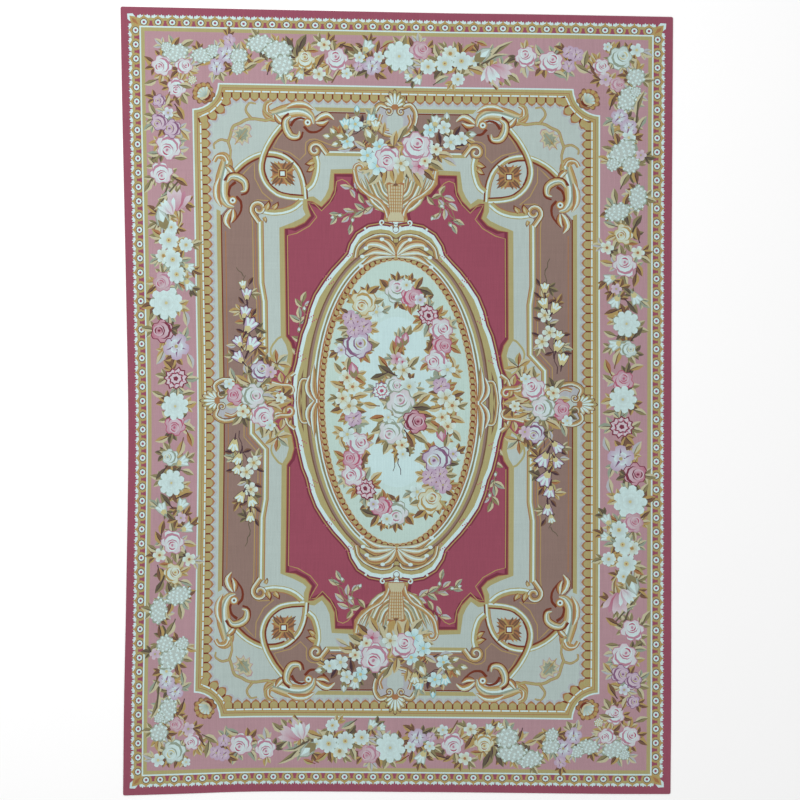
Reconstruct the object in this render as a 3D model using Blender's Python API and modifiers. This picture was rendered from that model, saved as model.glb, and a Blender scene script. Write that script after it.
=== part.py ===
"""A large flat-woven medallion rug, lying open on the floor.

The rug is one cloth, so it is one solid: a thin flat sheet with turned-under edges that are part
of it. Its outline is as uneven as the real rug's. The left side draws in at its middle, the top
side runs a little out of square, and the bottom side lifts near its left corner.

Units are metres, +Z is up, +Y runs along the rug's length. The middle of the underside is at the
origin.
"""

import math

import bmesh
import bpy
from mathutils import Vector

OBJECT_NAME = "flat_woven_medallion_rug"
CLOTH_NODE = "rug_cloth"

# Driving dimensions
CLOTH_THICKNESS = 0.003
EDGE_ROUNDING = 0.001
EDGE_ROUNDING_SEGMENTS = 2
CORNER_RADIUS = 0.010
CORNER_STEPS = 4
STATIONS_PER_SIDE = 24

# Corners of the outline, anticlockwise seen from above
#   name, x, y
CORNERS = (
    ("bottom_left", -1.492, -2.151),
    ("bottom_right", 1.492, -2.143),
    ("top_right", 1.506, 2.094),
    ("top_left", -1.506, 2.151),
)

# How far each side draws in from the straight line between its corners. The share runs along the
# side, anticlockwise.
#   share of the side, drawn in by
SIDE_DRAW_IN = {
    "bottom": (
        (0.00, 0.000),
        (0.10, 0.008),
        (0.22, 0.019),
        (0.33, 0.020),
        (0.60, 0.013),
        (0.88, 0.002),
        (1.00, 0.000),
    ),
    "right": (
        (0.00, 0.000),
        (0.12, -0.002),
        (0.50, 0.002),
        (0.70, 0.003),
        (1.00, 0.000),
    ),
    "top": (
        (0.00, 0.000),
        (0.25, 0.000),
        (0.42, 0.003),
        (1.00, 0.000),
    ),
    "left": (
        (0.00, 0.000),
        (0.12, 0.007),
        (0.37, 0.026),
        (0.54, 0.035),
        (0.75, 0.020),
        (0.88, 0.007),
        (1.00, 0.000),
    ),
}

# Wool colours of the plain outer border, as linear RGB
WOOL_CRIMSON = (0.262, 0.069, 0.107, 1.0)
WOOL_ROUGHNESS = 0.95


def smooth_value(rows, share):
    """The value at a share of the side, on a smooth curve through the rows."""
    last = len(rows) - 1
    index = 0
    while index < last - 1 and share > rows[index + 1][0]:
        index += 1
    (x0, y0), (x1, y1) = rows[index], rows[index + 1]
    before = rows[max(index - 1, 0)]
    after = rows[min(index + 2, last)]
    span = x1 - x0
    slope_in = (y1 - before[1]) / (x1 - before[0])
    slope_out = (after[1] - y0) / (after[0] - x0)
    t = (share - x0) / span
    return (
        (2 * t**3 - 3 * t**2 + 1) * y0
        + (t**3 - 2 * t**2 + t) * span * slope_in
        + (3 * t**2 - 2 * t**3) * y1
        + (t**3 - t**2) * span * slope_out
    )


def corner_arc(corner, before, after):
    """Points of the small round that replaces a corner."""
    to_before = (before - corner).normalized()
    to_after = (after - corner).normalized()
    start = corner + to_before * CORNER_RADIUS
    end = corner + to_after * CORNER_RADIUS
    points = []
    for step in range(CORNER_STEPS + 1):
        t = step / CORNER_STEPS
        points.append(start * (1 - t) ** 2 + corner * 2 * t * (1 - t) + end * t**2)
    return points


def outline_points():
    """The rug's outline, anticlockwise, as points on the floor plane."""
    corners = [Vector((x, y)) for _, x, y in CORNERS]
    points = []
    for index, side in enumerate(SIDE_DRAW_IN):
        start = corners[index]
        end = corners[(index + 1) % len(corners)]
        along = (end - start).normalized()
        inward = Vector((-along.y, along.x))
        points += corner_arc(start, corners[index - 1], end)
        for station in range(1, STATIONS_PER_SIDE):
            share = station / STATIONS_PER_SIDE
            draw_in = smooth_value(SIDE_DRAW_IN[side], share)
            points.append(start.lerp(end, share) + inward * draw_in)
    return points


def wool_material():
    """Plain crimson wool, matt and without metal."""
    material = bpy.data.materials.new("rug_wool")
    material.use_nodes = True
    shader = material.node_tree.nodes["Principled BSDF"]
    shader.inputs["Base Color"].default_value = WOOL_CRIMSON
    shader.inputs["Roughness"].default_value = WOOL_ROUGHNESS
    shader.inputs["Metallic"].default_value = 0.0
    material.diffuse_color = WOOL_CRIMSON
    return material


def make_cloth(collection):
    """The whole rug: one flat sheet with softly rounded edges, its underside on the floor."""
    shape = bmesh.new()
    ring = [shape.verts.new((point.x, point.y, 0.0)) for point in outline_points()]
    underside = shape.faces.new(ring)
    lifted = bmesh.ops.extrude_face_region(shape, geom=[underside])
    top_points = [item for item in lifted["geom"] if isinstance(item, bmesh.types.BMVert)]
    bmesh.ops.translate(shape, vec=(0.0, 0.0, CLOTH_THICKNESS), verts=top_points)
    bmesh.ops.recalc_face_normals(shape, faces=shape.faces)
    mesh = bpy.data.meshes.new(CLOTH_NODE)
    shape.to_mesh(mesh)
    shape.free()

    cloth = bpy.data.objects.new(CLOTH_NODE, mesh)
    collection.objects.link(cloth)
    rounding = cloth.modifiers.new("edge_rounding", "BEVEL")
    rounding.width = EDGE_ROUNDING
    rounding.segments = EDGE_ROUNDING_SEGMENTS
    rounding.limit_method = "ANGLE"
    rounding.angle_limit = math.radians(60)
    cloth.data.materials.append(wool_material())
    return cloth


def main():
    for old in list(bpy.data.objects):
        bpy.data.objects.remove(old, do_unlink=True)
    collection = bpy.data.collections.new(OBJECT_NAME)
    bpy.context.scene.collection.children.link(collection)
    make_cloth(collection)


main()
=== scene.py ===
"""The looks of a flat-woven medallion rug: its woven design, its wool, the floor, light and camera.

The design is drawn in centimetres on a true rectangle, as a weaver's cartoon is, and then laid onto
the cloth, whose sides are uneven. Each shape of coloured wool lies over the ones before it, and the
cloth's face is cut into one flat layer along all their outlines.
"""

import itertools
import math
import random
import sys

import bmesh
import bpy
import numpy as np
from bpy.props import FloatProperty, FloatVectorProperty, IntProperty, PointerProperty
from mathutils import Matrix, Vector
from mathutils.bvhtree import BVHTree
from mathutils.geometry import delaunay_2d_cdt


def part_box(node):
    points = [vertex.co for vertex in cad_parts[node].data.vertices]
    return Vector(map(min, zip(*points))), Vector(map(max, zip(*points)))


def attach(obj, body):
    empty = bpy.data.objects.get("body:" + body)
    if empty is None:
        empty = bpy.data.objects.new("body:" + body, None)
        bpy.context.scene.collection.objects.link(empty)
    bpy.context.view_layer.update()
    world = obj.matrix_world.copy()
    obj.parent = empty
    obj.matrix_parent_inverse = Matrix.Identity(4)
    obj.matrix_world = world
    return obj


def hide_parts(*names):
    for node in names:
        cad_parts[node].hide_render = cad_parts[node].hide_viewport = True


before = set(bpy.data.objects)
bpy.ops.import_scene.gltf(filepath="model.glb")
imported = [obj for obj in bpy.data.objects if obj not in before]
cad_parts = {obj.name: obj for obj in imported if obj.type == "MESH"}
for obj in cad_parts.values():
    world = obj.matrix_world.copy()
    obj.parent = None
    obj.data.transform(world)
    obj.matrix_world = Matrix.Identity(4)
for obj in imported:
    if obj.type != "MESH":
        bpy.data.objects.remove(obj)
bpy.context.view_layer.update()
CLOTH_NODE = "rug_cloth"
CLOTH_LOW, CLOTH_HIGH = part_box(CLOTH_NODE)

bl_info = {
    "name": "Flat-woven medallion rug",
    "version": (1, 0, 0),
    "blender": (4, 5, 0),
    "location": "View3D > Sidebar > Rug",
    "description": "Weaves a garland and medallion rug as one cloth with procedural wool",
    "category": "Object",
}

CM = 0.01
HALF_WIDTH, HALF_LENGTH = 148.6, 213.0  # the cartoon's half size, in cm
CORNER_ROUND = 1.0
CURVE_STEP = 9.0  # straight lines of the cartoon get a point this often, so that they follow the cloth

# The cloth's outline in metres, the same as the solid's: corners, and how far each side draws in
CORNERS = {
    "bottom_left": (-1.492, -2.151),
    "bottom_right": (1.492, -2.143),
    "top_right": (1.506, 2.094),
    "top_left": (-1.506, 2.151),
}
#   share of the side, drawn in by
SIDE_DRAW_IN = {
    "bottom": ((0, 0), (0.10, 0.008), (0.22, 0.019), (0.33, 0.020), (0.60, 0.013), (0.88, 0.002), (1, 0)),
    "right": ((0, 0), (0.12, -0.002), (0.50, 0.002), (0.70, 0.003), (1, 0)),
    "top": ((0, 0), (0.25, 0), (0.42, 0.003), (1, 0)),
    "left": ((0, 0), (0.12, 0.007), (0.37, 0.026), (0.54, 0.035), (0.75, 0.020), (0.88, 0.007), (1, 0)),
}
CENTRE_SHIFT = 1.3  # the middle of the design lies this far left of the middle of the cloth, in cm

# Wool colours as they look, in sRGB
WOOLS = {
    "crimson": (0.548, 0.288, 0.358),
    "field": (0.558, 0.280, 0.350),
    "field_dark": (0.450, 0.190, 0.260),
    "rose": (0.652, 0.522, 0.552),
    "taupe": (0.520, 0.435, 0.405),
    "ground": (0.660, 0.720, 0.705),
    "cream": (0.690, 0.780, 0.760),
    "ivory": (0.705, 0.805, 0.795),
    "gold": (0.625, 0.600, 0.420),
    "old_gold": (0.640, 0.550, 0.350),
    "orange": (0.600, 0.430, 0.290),
    "red_brown": (0.420, 0.185, 0.120),
    "brown": (0.430, 0.320, 0.250),
    "sand": (0.700, 0.690, 0.570),
    "white": (0.740, 0.840, 0.840),
    "lilac": (0.660, 0.580, 0.680),
    "plum": (0.480, 0.340, 0.460),
    "blush": (0.740, 0.700, 0.730),
    "pink": (0.660, 0.480, 0.550),
    "magenta": (0.640, 0.330, 0.425),
    "grey_green": (0.530, 0.580, 0.520),
    "olive": (0.500, 0.470, 0.340),
    "dark_leaf": (0.350, 0.320, 0.260),
    "ink": (0.270, 0.190, 0.220),
    "aqua": (0.560, 0.760, 0.800),
    "yellow": (0.720, 0.700, 0.520),
    "pale_green": (0.690, 0.785, 0.755),
    "pale_blue": (0.718, 0.822, 0.825),
    "mist": (0.640, 0.660, 0.680),
}

CAMERA_LENS, CAMERA_SENSOR = 85.0, 36.0
VIEW_SPAN = 4.364  # how much of the floor the square picture shows, in metres
CAMERA_OFFSET = (0.0177, 0.0055)
SMALLEST_SHAPE = 0.002  # twice its area, in square cm

QUARTERS = ((1, 1), (-1, 1), (-1, -1), (1, -1))
HALF_TURN = ((1, 1), (-1, -1))
SINGLE = ((1, 1),)


def smooth_value(rows, share):
    """The value at a share of a side, on a smooth curve through the rows."""
    last = len(rows) - 1
    index = 0
    while index < last - 1 and share > rows[index + 1][0]:
        index += 1
    (x0, y0), (x1, y1) = rows[index], rows[index + 1]
    before, after = rows[max(index - 1, 0)], rows[min(index + 2, last)]
    span = x1 - x0
    slope_in = (y1 - before[1]) / (x1 - before[0])
    slope_out = (after[1] - y0) / (after[0] - x0)
    t = (share - x0) / span
    return (
        (2 * t**3 - 3 * t**2 + 1) * y0
        + (t**3 - 2 * t**2 + t) * span * slope_in
        + (3 * t**2 - 2 * t**3) * y1
        + (t**3 - t**2) * span * slope_out
    )


def side_point(side, start, end, share):
    """A point of the cloth's side in metres, at a share of the way from start to end."""
    a, b = np.array(CORNERS[start]), np.array(CORNERS[end])
    along = (b - a) / np.linalg.norm(b - a)
    inward = np.array((-along[1], along[0]))
    return a + (b - a) * share + inward * smooth_value(SIDE_DRAW_IN[side], share)


def lay_on_cloth(points):
    """Takes points of the cartoon, in cm, to the uneven cloth, in metres."""
    points = np.asarray(points, float)
    u = (points[:, 0] / HALF_WIDTH + 1) / 2
    v = (points[:, 1] / HALF_LENGTH + 1) / 2
    u = u - CENTRE_SHIFT / (2 * HALF_WIDTH) * (4 * u * (1 - u))
    shares = np.linspace(0, 1, 121)
    bottom = np.array([side_point("bottom", "bottom_left", "bottom_right", s) for s in shares])
    right = np.array([side_point("right", "bottom_right", "top_right", s) for s in shares])
    top = np.array([side_point("top", "top_right", "top_left", 1 - s) for s in shares])
    left = np.array([side_point("left", "top_left", "bottom_left", 1 - s) for s in shares])
    laid = np.zeros((len(points), 2))
    for axis in range(2):
        low = np.interp(u, shares, bottom[:, axis])
        high = np.interp(u, shares, top[:, axis])
        west = np.interp(v, shares, left[:, axis])
        east = np.interp(v, shares, right[:, axis])
        c00, c10 = bottom[0, axis], bottom[-1, axis]
        c01, c11 = top[0, axis], top[-1, axis]
        corners = (1 - u) * (1 - v) * c00 + u * (1 - v) * c10 + (1 - u) * v * c01 + u * v * c11
        laid[:, axis] = (1 - v) * low + v * high + (1 - u) * west + u * east - corners
    return laid


class Cartoon:
    """The design as shapes of coloured wool, each over the ones before it."""

    def __init__(self, wools):
        self.wools = wools
        self.points = []
        self.shapes = []
        self.paints = []
        self.fine = []
        self.copies = SINGLE
        self.detail = False

    def shape(self, outline, wool, second=None, at=None, reach=None, towards=None):
        """A shape in one wool, or one that blends into a second: out from a point, or along a line."""
        first = self.wools[wool]
        last = self.wools[second or wool]
        for flip_x, flip_y in self.copies:
            ring = [(x * flip_x, y * flip_y) for x, y in outline]
            turn = sum(ax * by - bx * ay for (ax, ay), (bx, by) in zip(ring, ring[1:] + ring[:1]))
            if abs(turn) < SMALLEST_SHAPE:
                continue
            if turn < 0:
                ring.reverse()
            start = len(self.points)
            self.points += ring
            self.shapes.append(range(start, start + len(ring)))
            if at is None:
                blend = (0, 0.0, 0.0, 0.0, 0.0)
            elif towards is None:
                blend = (1, at[0] * flip_x, at[1] * flip_y, reach, 0.0)
            else:
                blend = (2, at[0] * flip_x, at[1] * flip_y, towards[0] * flip_x, towards[1] * flip_y)
            self.paints.append((first, last, blend))
            self.fine.append(self.detail)

    def stroke(self, path, width, wool, end_width=None, shift=0.0, closed=False):
        """A band along a path. It may taper, and may lie to one side of the path."""
        end_width = width if end_width is None else end_width
        count = len(path)
        left, right = [], []
        for i, (x, y) in enumerate(path):
            if closed:
                ax, ay = path[i - 1]
                bx, by = path[(i + 1) % count]
            else:
                ax, ay = path[max(i - 1, 0)]
                bx, by = path[min(i + 1, count - 1)]
            length = math.hypot(bx - ax, by - ay) or 1.0
            nx, ny = -(by - ay) / length, (bx - ax) / length
            half = (width + (end_width - width) * i / max(count - 1, 1)) / 2
            left.append((x + nx * (shift + half), y + ny * (shift + half)))
            right.append((x + nx * (shift - half), y + ny * (shift - half)))
        for i in range(count if closed else count - 1):
            j = (i + 1) % count
            self.shape([right[i], right[j], left[j]], wool)
            self.shape([right[i], left[j], left[i]], wool)


def ring_points(x, y, radius_x, radius_y=None, steps=12, turn=0.0):
    """Points round an ellipse. turn is in degrees."""
    radius_y = radius_x if radius_y is None else radius_y
    tilt = math.radians(turn)
    points = []
    for i in range(steps):
        a = 2 * math.pi * i / steps
        px, py = radius_x * math.cos(a), radius_y * math.sin(a)
        points.append((x + px * math.cos(tilt) - py * math.sin(tilt), y + px * math.sin(tilt) + py * math.cos(tilt)))
    return points


def curve(knots, steps=5, closed=False):
    """A smooth curve through the knots."""
    count = len(knots)
    points = []
    for i in range(count if closed else count - 1):
        if closed:
            p = [knots[(i + k) % count] for k in (-1, 0, 1, 2)]
        else:
            p = [knots[max(0, min(count - 1, i + k))] for k in (-1, 0, 1, 2)]
        for s in range(steps):
            t = s / steps
            weights = (
                (-t + 2 * t**2 - t**3) / 2,
                (2 - 5 * t**2 + 3 * t**3) / 2,
                (t + 4 * t**2 - 3 * t**3) / 2,
                (-(t**2) + t**3) / 2,
            )
            points.append(tuple(sum(w * q[axis] for w, q in zip(weights, p)) for axis in (0, 1)))
    if not closed:
        points.append(tuple(knots[-1]))
    return points


def box_points(half_x, half_y, round_off=0.0):
    """A centred rectangle with a point every few cm, and its corners rounded where asked."""
    corners = [(-half_x, -half_y), (half_x, -half_y), (half_x, half_y), (-half_x, half_y)]
    points = []
    for i, corner in enumerate(corners):
        start, end = Vector(corner), Vector(corners[(i + 1) % 4])
        along = (end - start).normalized()
        steps = max(1, round((end - start).length / CURVE_STEP))
        first, last = start + along * round_off, end - along * round_off
        points += [tuple(first.lerp(last, k / steps)) for k in range(steps + 1 if round_off else steps)]
        if round_off:
            turn = (Vector(corners[(i + 2) % 4]) - end).normalized() * round_off
            for t in (0.25, 0.5, 0.75):
                bend = last * (1 - t) ** 2 + end * 2 * t * (1 - t) + (end + turn) * t**2
                points.append(tuple(bend))
    return points


def evenly(path, pitch):
    """Even places along a closed path, each (x, y, direction in degrees, spacing)."""
    ends = path[1:] + path[:1]
    lengths = [math.hypot(bx - ax, by - ay) for (ax, ay), (bx, by) in zip(path, ends)]
    total = sum(lengths)
    count = max(1, round(total / pitch))
    places = []
    index, passed = 0, 0.0
    for k in range(count):
        goal = total * (k + 0.5) / count
        while passed + lengths[index] < goal:
            passed += lengths[index]
            index += 1
        (ax, ay), (bx, by) = path[index], ends[index]
        t = (goal - passed) / lengths[index]
        turn = math.degrees(math.atan2(by - ay, bx - ax))
        places.append((ax + (bx - ax) * t, ay + (by - ay) * t, turn, total / count))
    return places


def placed(outline, x, y, turn=0.0, size=1.0, flip=1):
    """A small outline turned, sized and put at a place of the cartoon."""
    c, s = math.cos(math.radians(turn)) * size, math.sin(math.radians(turn)) * size
    return [(x + px * c - py * flip * s, y + px * s + py * flip * c) for px, py in outline]


def along_line(a, b, pitch):
    """Evenly spaced places between two points, as (x, y) with the number that fits best."""
    length = math.hypot(b[0] - a[0], b[1] - a[1])
    count = max(1, round(length / pitch))
    return [
        (a[0] + (b[0] - a[0]) * (i + 0.5) / count, a[1] + (b[1] - a[1]) * (i + 0.5) / count, length / count)
        for i in range(count)
    ]

# Rings of the border, each from the cloth's edge inwards: distance in cm, wool
BORDER_RINGS = (
    (10.1, "white"),
    (10.9, "gold"),
    (12.9, "rose"),
)
LACE_CENTRE, LACE_PITCH = 8.1, 7.75
FRAME_X, FRAME_Y, FRAME_NOTCH = 110.2, 172.6, 14.2
#   distance inwards from the frame's outer line, wool
FRAME_RINGS = (
    (0.0, "white"),
    (0.8, "gold"),
    (2.4, "orange"),
    (2.8, "gold"),
    (3.3, "old_gold"),
    (4.9, "orange"),
    (5.3, "ground"),
)
STRAP_X, STRAP_Y = 97.9, 160.3  # outer line of the straight gold strap inside the frame

LACE_WING = ((-3.2, 2.6), (-2.4, 4.0), (-1.3, 3.5), (0, 4.4), (1.3, 3.5), (2.4, 4.0), (3.2, 2.6), (0, 2.1))
LACE_TREFOIL = ((-0.9, 2.0), (-1.0, 3.0), (-0.4, 3.3), (0, 4.7), (0.4, 3.3), (1.0, 3.0), (0.9, 2.0))
EGG = ((-2.1, 0.1), (2.1, 0.1), (2.15, 1.9), (1.7, 2.9), (0.8, 3.5), (0, 3.7), (-0.8, 3.5), (-1.7, 2.9), (-2.15, 1.9))
EGG_CUP = ((-2.5, 0.0), (2.5, 0.0), (2.5, 2.6), (1.6, 3.9), (0, 5.0), (-1.6, 3.9), (-2.5, 2.6))
EGG_GAP = ((-0.45, 0.0), (0.45, 0.0), (0.5, 2.1), (0.0, 2.9), (-0.5, 2.1))
EGG_SHADE = ((-2.3, 3.6), (0, 4.6), (2.3, 3.6), (1.6, 5.3), (0, 5.9), (-1.6, 5.3))


def weave_borders(art):
    """The plain crimson edge, the lace guard band and the pink ground."""
    art.shape(box_points(HALF_WIDTH, HALF_LENGTH, CORNER_ROUND), "crimson")
    places = []
    x, y = HALF_WIDTH - LACE_CENTRE, HALF_LENGTH - LACE_CENTRE
    for start, end, turn in (((-x, y), (x, y), 0), ((x, y), (x, -y), -90), ((x, -y), (-x, -y), 180), ((-x, -y), (-x, y), 90)):
        span = Vector(end) - Vector(start)
        inset = span.normalized() * 0.6
        a, b = Vector(start) + inset, Vector(end) - inset
        places += [(px, py, turn, pitch) for px, py, pitch in along_line(a, b, LACE_PITCH)]
    for px, py, turn, pitch in places:
        stretch = pitch / LACE_PITCH
        link = [(-pitch / 2, 0.9), (pitch / 2, 0.9), (pitch / 2, 2.6), (-pitch / 2, 2.6)]
        art.shape(placed(link, px, py, turn), "gold")
        for side in (-1, 1):
            wing = [(wx * 0.5 * stretch * 1.12 + side * pitch / 4, wy * 1.0) for wx, wy in LACE_WING]
            art.shape(placed(wing, px, py, turn), "white")
        art.shape(placed(ring_points(0, 0.1, 3.3, 3.1, 10), px, py, turn), "old_gold")
        art.shape(placed(ring_points(0, 0.2, 2.6, 2.4, 8), px, py, turn), "gold")
        art.shape(placed(ring_points(0, 0.1, 2.2, 2.1, 8), px, py, turn), "brown")
        art.shape(placed(ring_points(0, 0.1, 1.7, 1.6, 8), px, py, turn), "white")
        art.shape(placed(ring_points(0, 0.1, 0.8, 0.75, 6), px, py, turn), "crimson")
        art.shape(placed(LACE_TREFOIL, px, py, turn), "old_gold")
    art.copies = QUARTERS
    cx, cy = -(HALF_WIDTH - LACE_CENTRE), HALF_LENGTH - LACE_CENTRE
    art.shape(placed(((-4.4, 1.5), (-4.6, 4.4), (-1.6, 4.6), (0.2, 2.4), (-2.4, -0.2)), cx, cy), "white")
    art.shape(placed(((-3.4, 3.4), (0.2, 2.8), (3.2, -3.2), (-2.8, -0.2)), cx, cy), "old_gold")
    art.shape(placed(((-2.4, 2.4), (0.0, 1.4), (1.4, -1.4), (-1.4, 0.0)), cx, cy), "orange")
    art.copies = SINGLE
    for inset, wool in BORDER_RINGS:
        art.shape(box_points(HALF_WIDTH - inset, HALF_LENGTH - inset), wool)


def frame_ring(inset):
    """The frame's outline with its concave corners, some way inwards from its outer line."""
    half_x, half_y, radius = FRAME_X - inset, FRAME_Y - inset, FRAME_NOTCH + inset
    reach = math.sqrt(radius**2 - inset**2)
    low = math.atan2(-reach, -inset)
    high = math.atan2(-inset, -reach) - 2 * math.pi
    arc = []
    for k in range(9):
        a = low + (high + 2 * math.pi - low) * k / 8
        arc.append((FRAME_X + radius * math.cos(a), FRAME_Y + radius * math.sin(a)))
    quarter = []
    side_steps = round((FRAME_Y - reach) / CURVE_STEP)
    quarter += [(half_x, (FRAME_Y - reach) * k / side_steps) for k in range(side_steps)]
    quarter += arc
    top_steps = round((FRAME_X - reach) / CURVE_STEP)
    quarter += [((FRAME_X - reach) * (1 - k / top_steps), half_y) for k in range(1, top_steps + 1)]
    ring = list(quarter)
    ring += [(-x, y) for x, y in reversed(quarter[:-1])]
    ring += [(-x, -y) for x, y in quarter[1:]]
    ring += [(x, -y) for x, y in reversed(quarter[1:-1])]
    return ring


def weave_frame(art):
    """The egg-and-dart frame with its notched corners and the shells that sit in them."""
    for inset, wool in FRAME_RINGS:
        art.shape(frame_ring(inset), wool)
    for x, y, turn, pitch in evenly(frame_ring(4.35), 5.0):
        dash = [(-pitch * 0.43, -0.4), (pitch * 0.43, -0.4), (pitch * 0.43, 0.4), (-pitch * 0.43, 0.4)]
        art.shape(placed(dash, x, y, turn), "white")
    eggs = evenly(frame_ring(5.0), 5.0)
    for x, y, turn, pitch in eggs:
        art.shape(placed(EGG_SHADE, x, y, turn, 1.02), "mist")
    for x, y, turn, pitch in eggs:
        art.shape(placed(EGG_CUP, x, y, turn), "orange")
    for x, y, turn, pitch in eggs:
        art.shape(placed(EGG, x, y, turn), "old_gold", "gold", at=placed([(0, 0)], x, y, turn)[0], reach=3.5)
        art.shape(placed([(gx + pitch / 2, gy) for gx, gy in EGG_GAP], x, y, turn), "red_brown")
    art.copies = QUARTERS
    cx, cy = -(FRAME_X - 6.2), FRAME_Y - 5.6
    for radius, depth, wool in ((6.5, 0.3, "brown"), (5.9, 0.35, "orange")):
        art.shape(wavy_ring(cx, cy, radius, 10, depth / 2, 9), wool)
    for k in range(8):
        a = math.radians(135 + 32 * (k - 3.5))
        art.shape(ring_points(cx + 4.7 * math.cos(a), cy + 4.7 * math.sin(a), 1.15, None, 6), "old_gold")
    art.shape(ring_points(cx + 0.4, cy - 0.4, 4.1, 4.1, 12), "brown")
    art.shape(ring_points(cx + 0.4, cy - 0.4, 3.7, 3.7, 12), "sand")
    for k in range(5):
        rib = [(0.4, -0.3), (4.6, -0.7), (5.2, 0), (4.6, 0.7), (0.4, 0.3)]
        art.shape(placed(rib, cx + 1.6, cy - 1.6, 135 + 24 * (k - 2)), "grey_green", "white", at=(cx + 1.6, cy - 1.6), reach=6)
    art.shape(placed(crescent(0, 0, 3.0, 135, 0.4), cx + 1.0, cy - 1.0), "red_brown")
    art.copies = SINGLE

# One quarter of each outline, upper left, in cm; the other quarters are its mirror images
FIELD_EDGE = ((-62.2, 0), (-62.2, 13), (-59.3, 20), (-58.3, 26), (-59.6, 31), (-62.2, 35), (-62.2, 65), (-62.2, 94),
              (-56, 95.8), (-50.5, 98.5), (-47.8, 101.3), (-49.2, 105), (-49.2, 110), (-45, 110.3), (-40.5, 107.4),
              (-37, 111.5), (-35, 116), (-34.2, 125.4), (-22.4, 125.8), (-21.3, 120), (-18, 115.5), (-11, 112),
              (-6, 108), (-4.2, 103), (-5.2, 98), (-6.5, 94.5), (0, 94.5))
FIELD_LINE = ((-59.2, 36), (-59.2, 60), (-59.2, 90), (-54, 91.4), (-47, 95.5), (-43, 100.4), (-45.6, 104.5),
              (-47.4, 108.2), (-44, 107.6), (-40.4, 103.8), (-36, 108.3), (-33, 113.5), (-32, 120), (-29, 121.2),
              (-26.5, 120), (-23, 116))
SIDE_PANEL = ((-95.2, 0), (-95.2, 50), (-95.2, 101), (-90, 108), (-91.5, 116), (-88.6, 122.3), (-82.5, 128.3),
              (-74.8, 132.8), (-74.2, 124), (-70.5, 117.3), (-64.5, 112.3), (-58, 110.2), (-51.6, 109.2),
              (-54.5, 106), (-60, 104), (-67, 103.3), (-73.5, 103), (-75.4, 97), (-75.4, 66), (-73.8, 59), (-73.8, 0))
TOP_PANEL = ((0, 157.6), (-20, 157.6), (-40, 157.6), (-47, 153), (-55, 153), (-60.4, 150.8), (-66.6, 143.6),
             (-70.6, 135.4), (-64, 134.8), (-57, 131.5), (-51.6, 124.8), (-48.9, 115.6), (-45.6, 117.6), (-42.8, 124),
             (-42, 131), (-40, 136), (-36, 135.6), (-20, 135.6), (0, 135.6))
MEDALLION_EDGE = ((0, 92.6), (-3, 94.6), (-8, 95.4), (-14, 94.3), (-20, 90.5), (-23.5, 85), (-25, 80), (-28.5, 75.8),
                  (-33.5, 70.5), (-38.5, 64), (-43, 57), (-46, 49.5), (-47.8, 42), (-50.3, 36), (-52.3, 28),
                  (-53.6, 20.5), (-55.6, 14), (-56.2, 7), (-55.5, 0))
#   half width, half length, wool
MEDALLION_RINGS = (
    (52.3, 89.2, "gold"),
    (50.4, 87.2, "brown"),
    (49.6, 86.4, "taupe"),
    (48.4, 85.3, "gold"),
    (46.7, 83.8, "white"),
    (45.8, 82.9, "olive"),
    (44.7, 81.9, "white"),
    (43.9, 81.2, "orange"),
    (43.1, 80.4, "sand"),
)
ROPE_X, ROPE_Y, ROPE_PITCH = 41.5, 79.0, 3.4
OVAL_X, OVAL_Y = 40.3, 77.8
BEAD_JOINTS = ((-25.2, 79.5), (-37.2, 66), (-46.9, 45.5), (-53, 24))


def whole_from_quarter(quarter):
    """A closed outline from its upper left quarter, which runs from the X axis to the Y axis."""
    rows = list(quarter)
    if rows[0][0] == 0:
        rows.reverse()
    ring = rows + [(-x, y) for x, y in reversed(rows[:-1])]
    ring += [(-x, -y) for x, y in rows[1:]] + [(x, -y) for x, y in reversed(rows[1:-1])]
    return ring


def spiral(x, y, radius, end_radius, start, end, steps=12):
    """Points that wind round a centre while the radius changes. Angles are in degrees."""
    points = []
    for k in range(steps + 1):
        t = k / steps
        a = math.radians(start + (end - start) * t)
        r = radius + (end_radius - radius) * t
        points.append((x + r * math.cos(a), y + r * math.sin(a)))
    return points


def scroll(art, path, width, end_width, dark="brown", light="white"):
    """A rolled acanthus stem: a dark edge, a gold body, pale streaks and a thin orange stripe."""
    art.stroke(path, width + 0.9, dark, end_width + 0.7)
    art.stroke(path, width, "old_gold", end_width)
    art.stroke(path, width * 0.44, "sand", end_width * 0.4, shift=width * 0.12)
    art.stroke(path, width * 0.2, light, end_width * 0.2, shift=width * 0.26)
    art.stroke(path, width * 0.14, "orange", end_width * 0.12, shift=-width * 0.2)


def acanthus(art, path, size, side, count, dark="brown", light="sand", spread=55):
    """Pointed leaf lobes along one side of a stem, largest in the middle, each with a light streak."""
    for k in range(count):
        t = (k + 0.6) / count
        i = min(int(t * (len(path) - 1)), len(path) - 2)
        (ax, ay), (bx, by) = path[i], path[i + 1]
        turn = math.degrees(math.atan2(by - ay, bx - ax)) + side * spread
        reach = size * (0.7 + 0.5 * math.sin(math.pi * t))
        lobe = [(0, -0.3), (0.4, -0.36), (0.78, -0.24), (1.08, 0.12), (0.66, 0.24), (0.3, 0.34), (0, 0.3)]
        for share, wool in ((1.0, dark), (0.8, "old_gold")):
            art.shape(placed([(px * share + 0.04, py * share) for px, py in lobe], ax, ay, turn, reach, side), wool)
        streak = [(0.05, -0.1), (0.45, -0.18), (0.82, 0.02), (0.4, 0.02)]
        art.shape(placed(streak, ax, ay, turn, reach, side), light)


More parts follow.
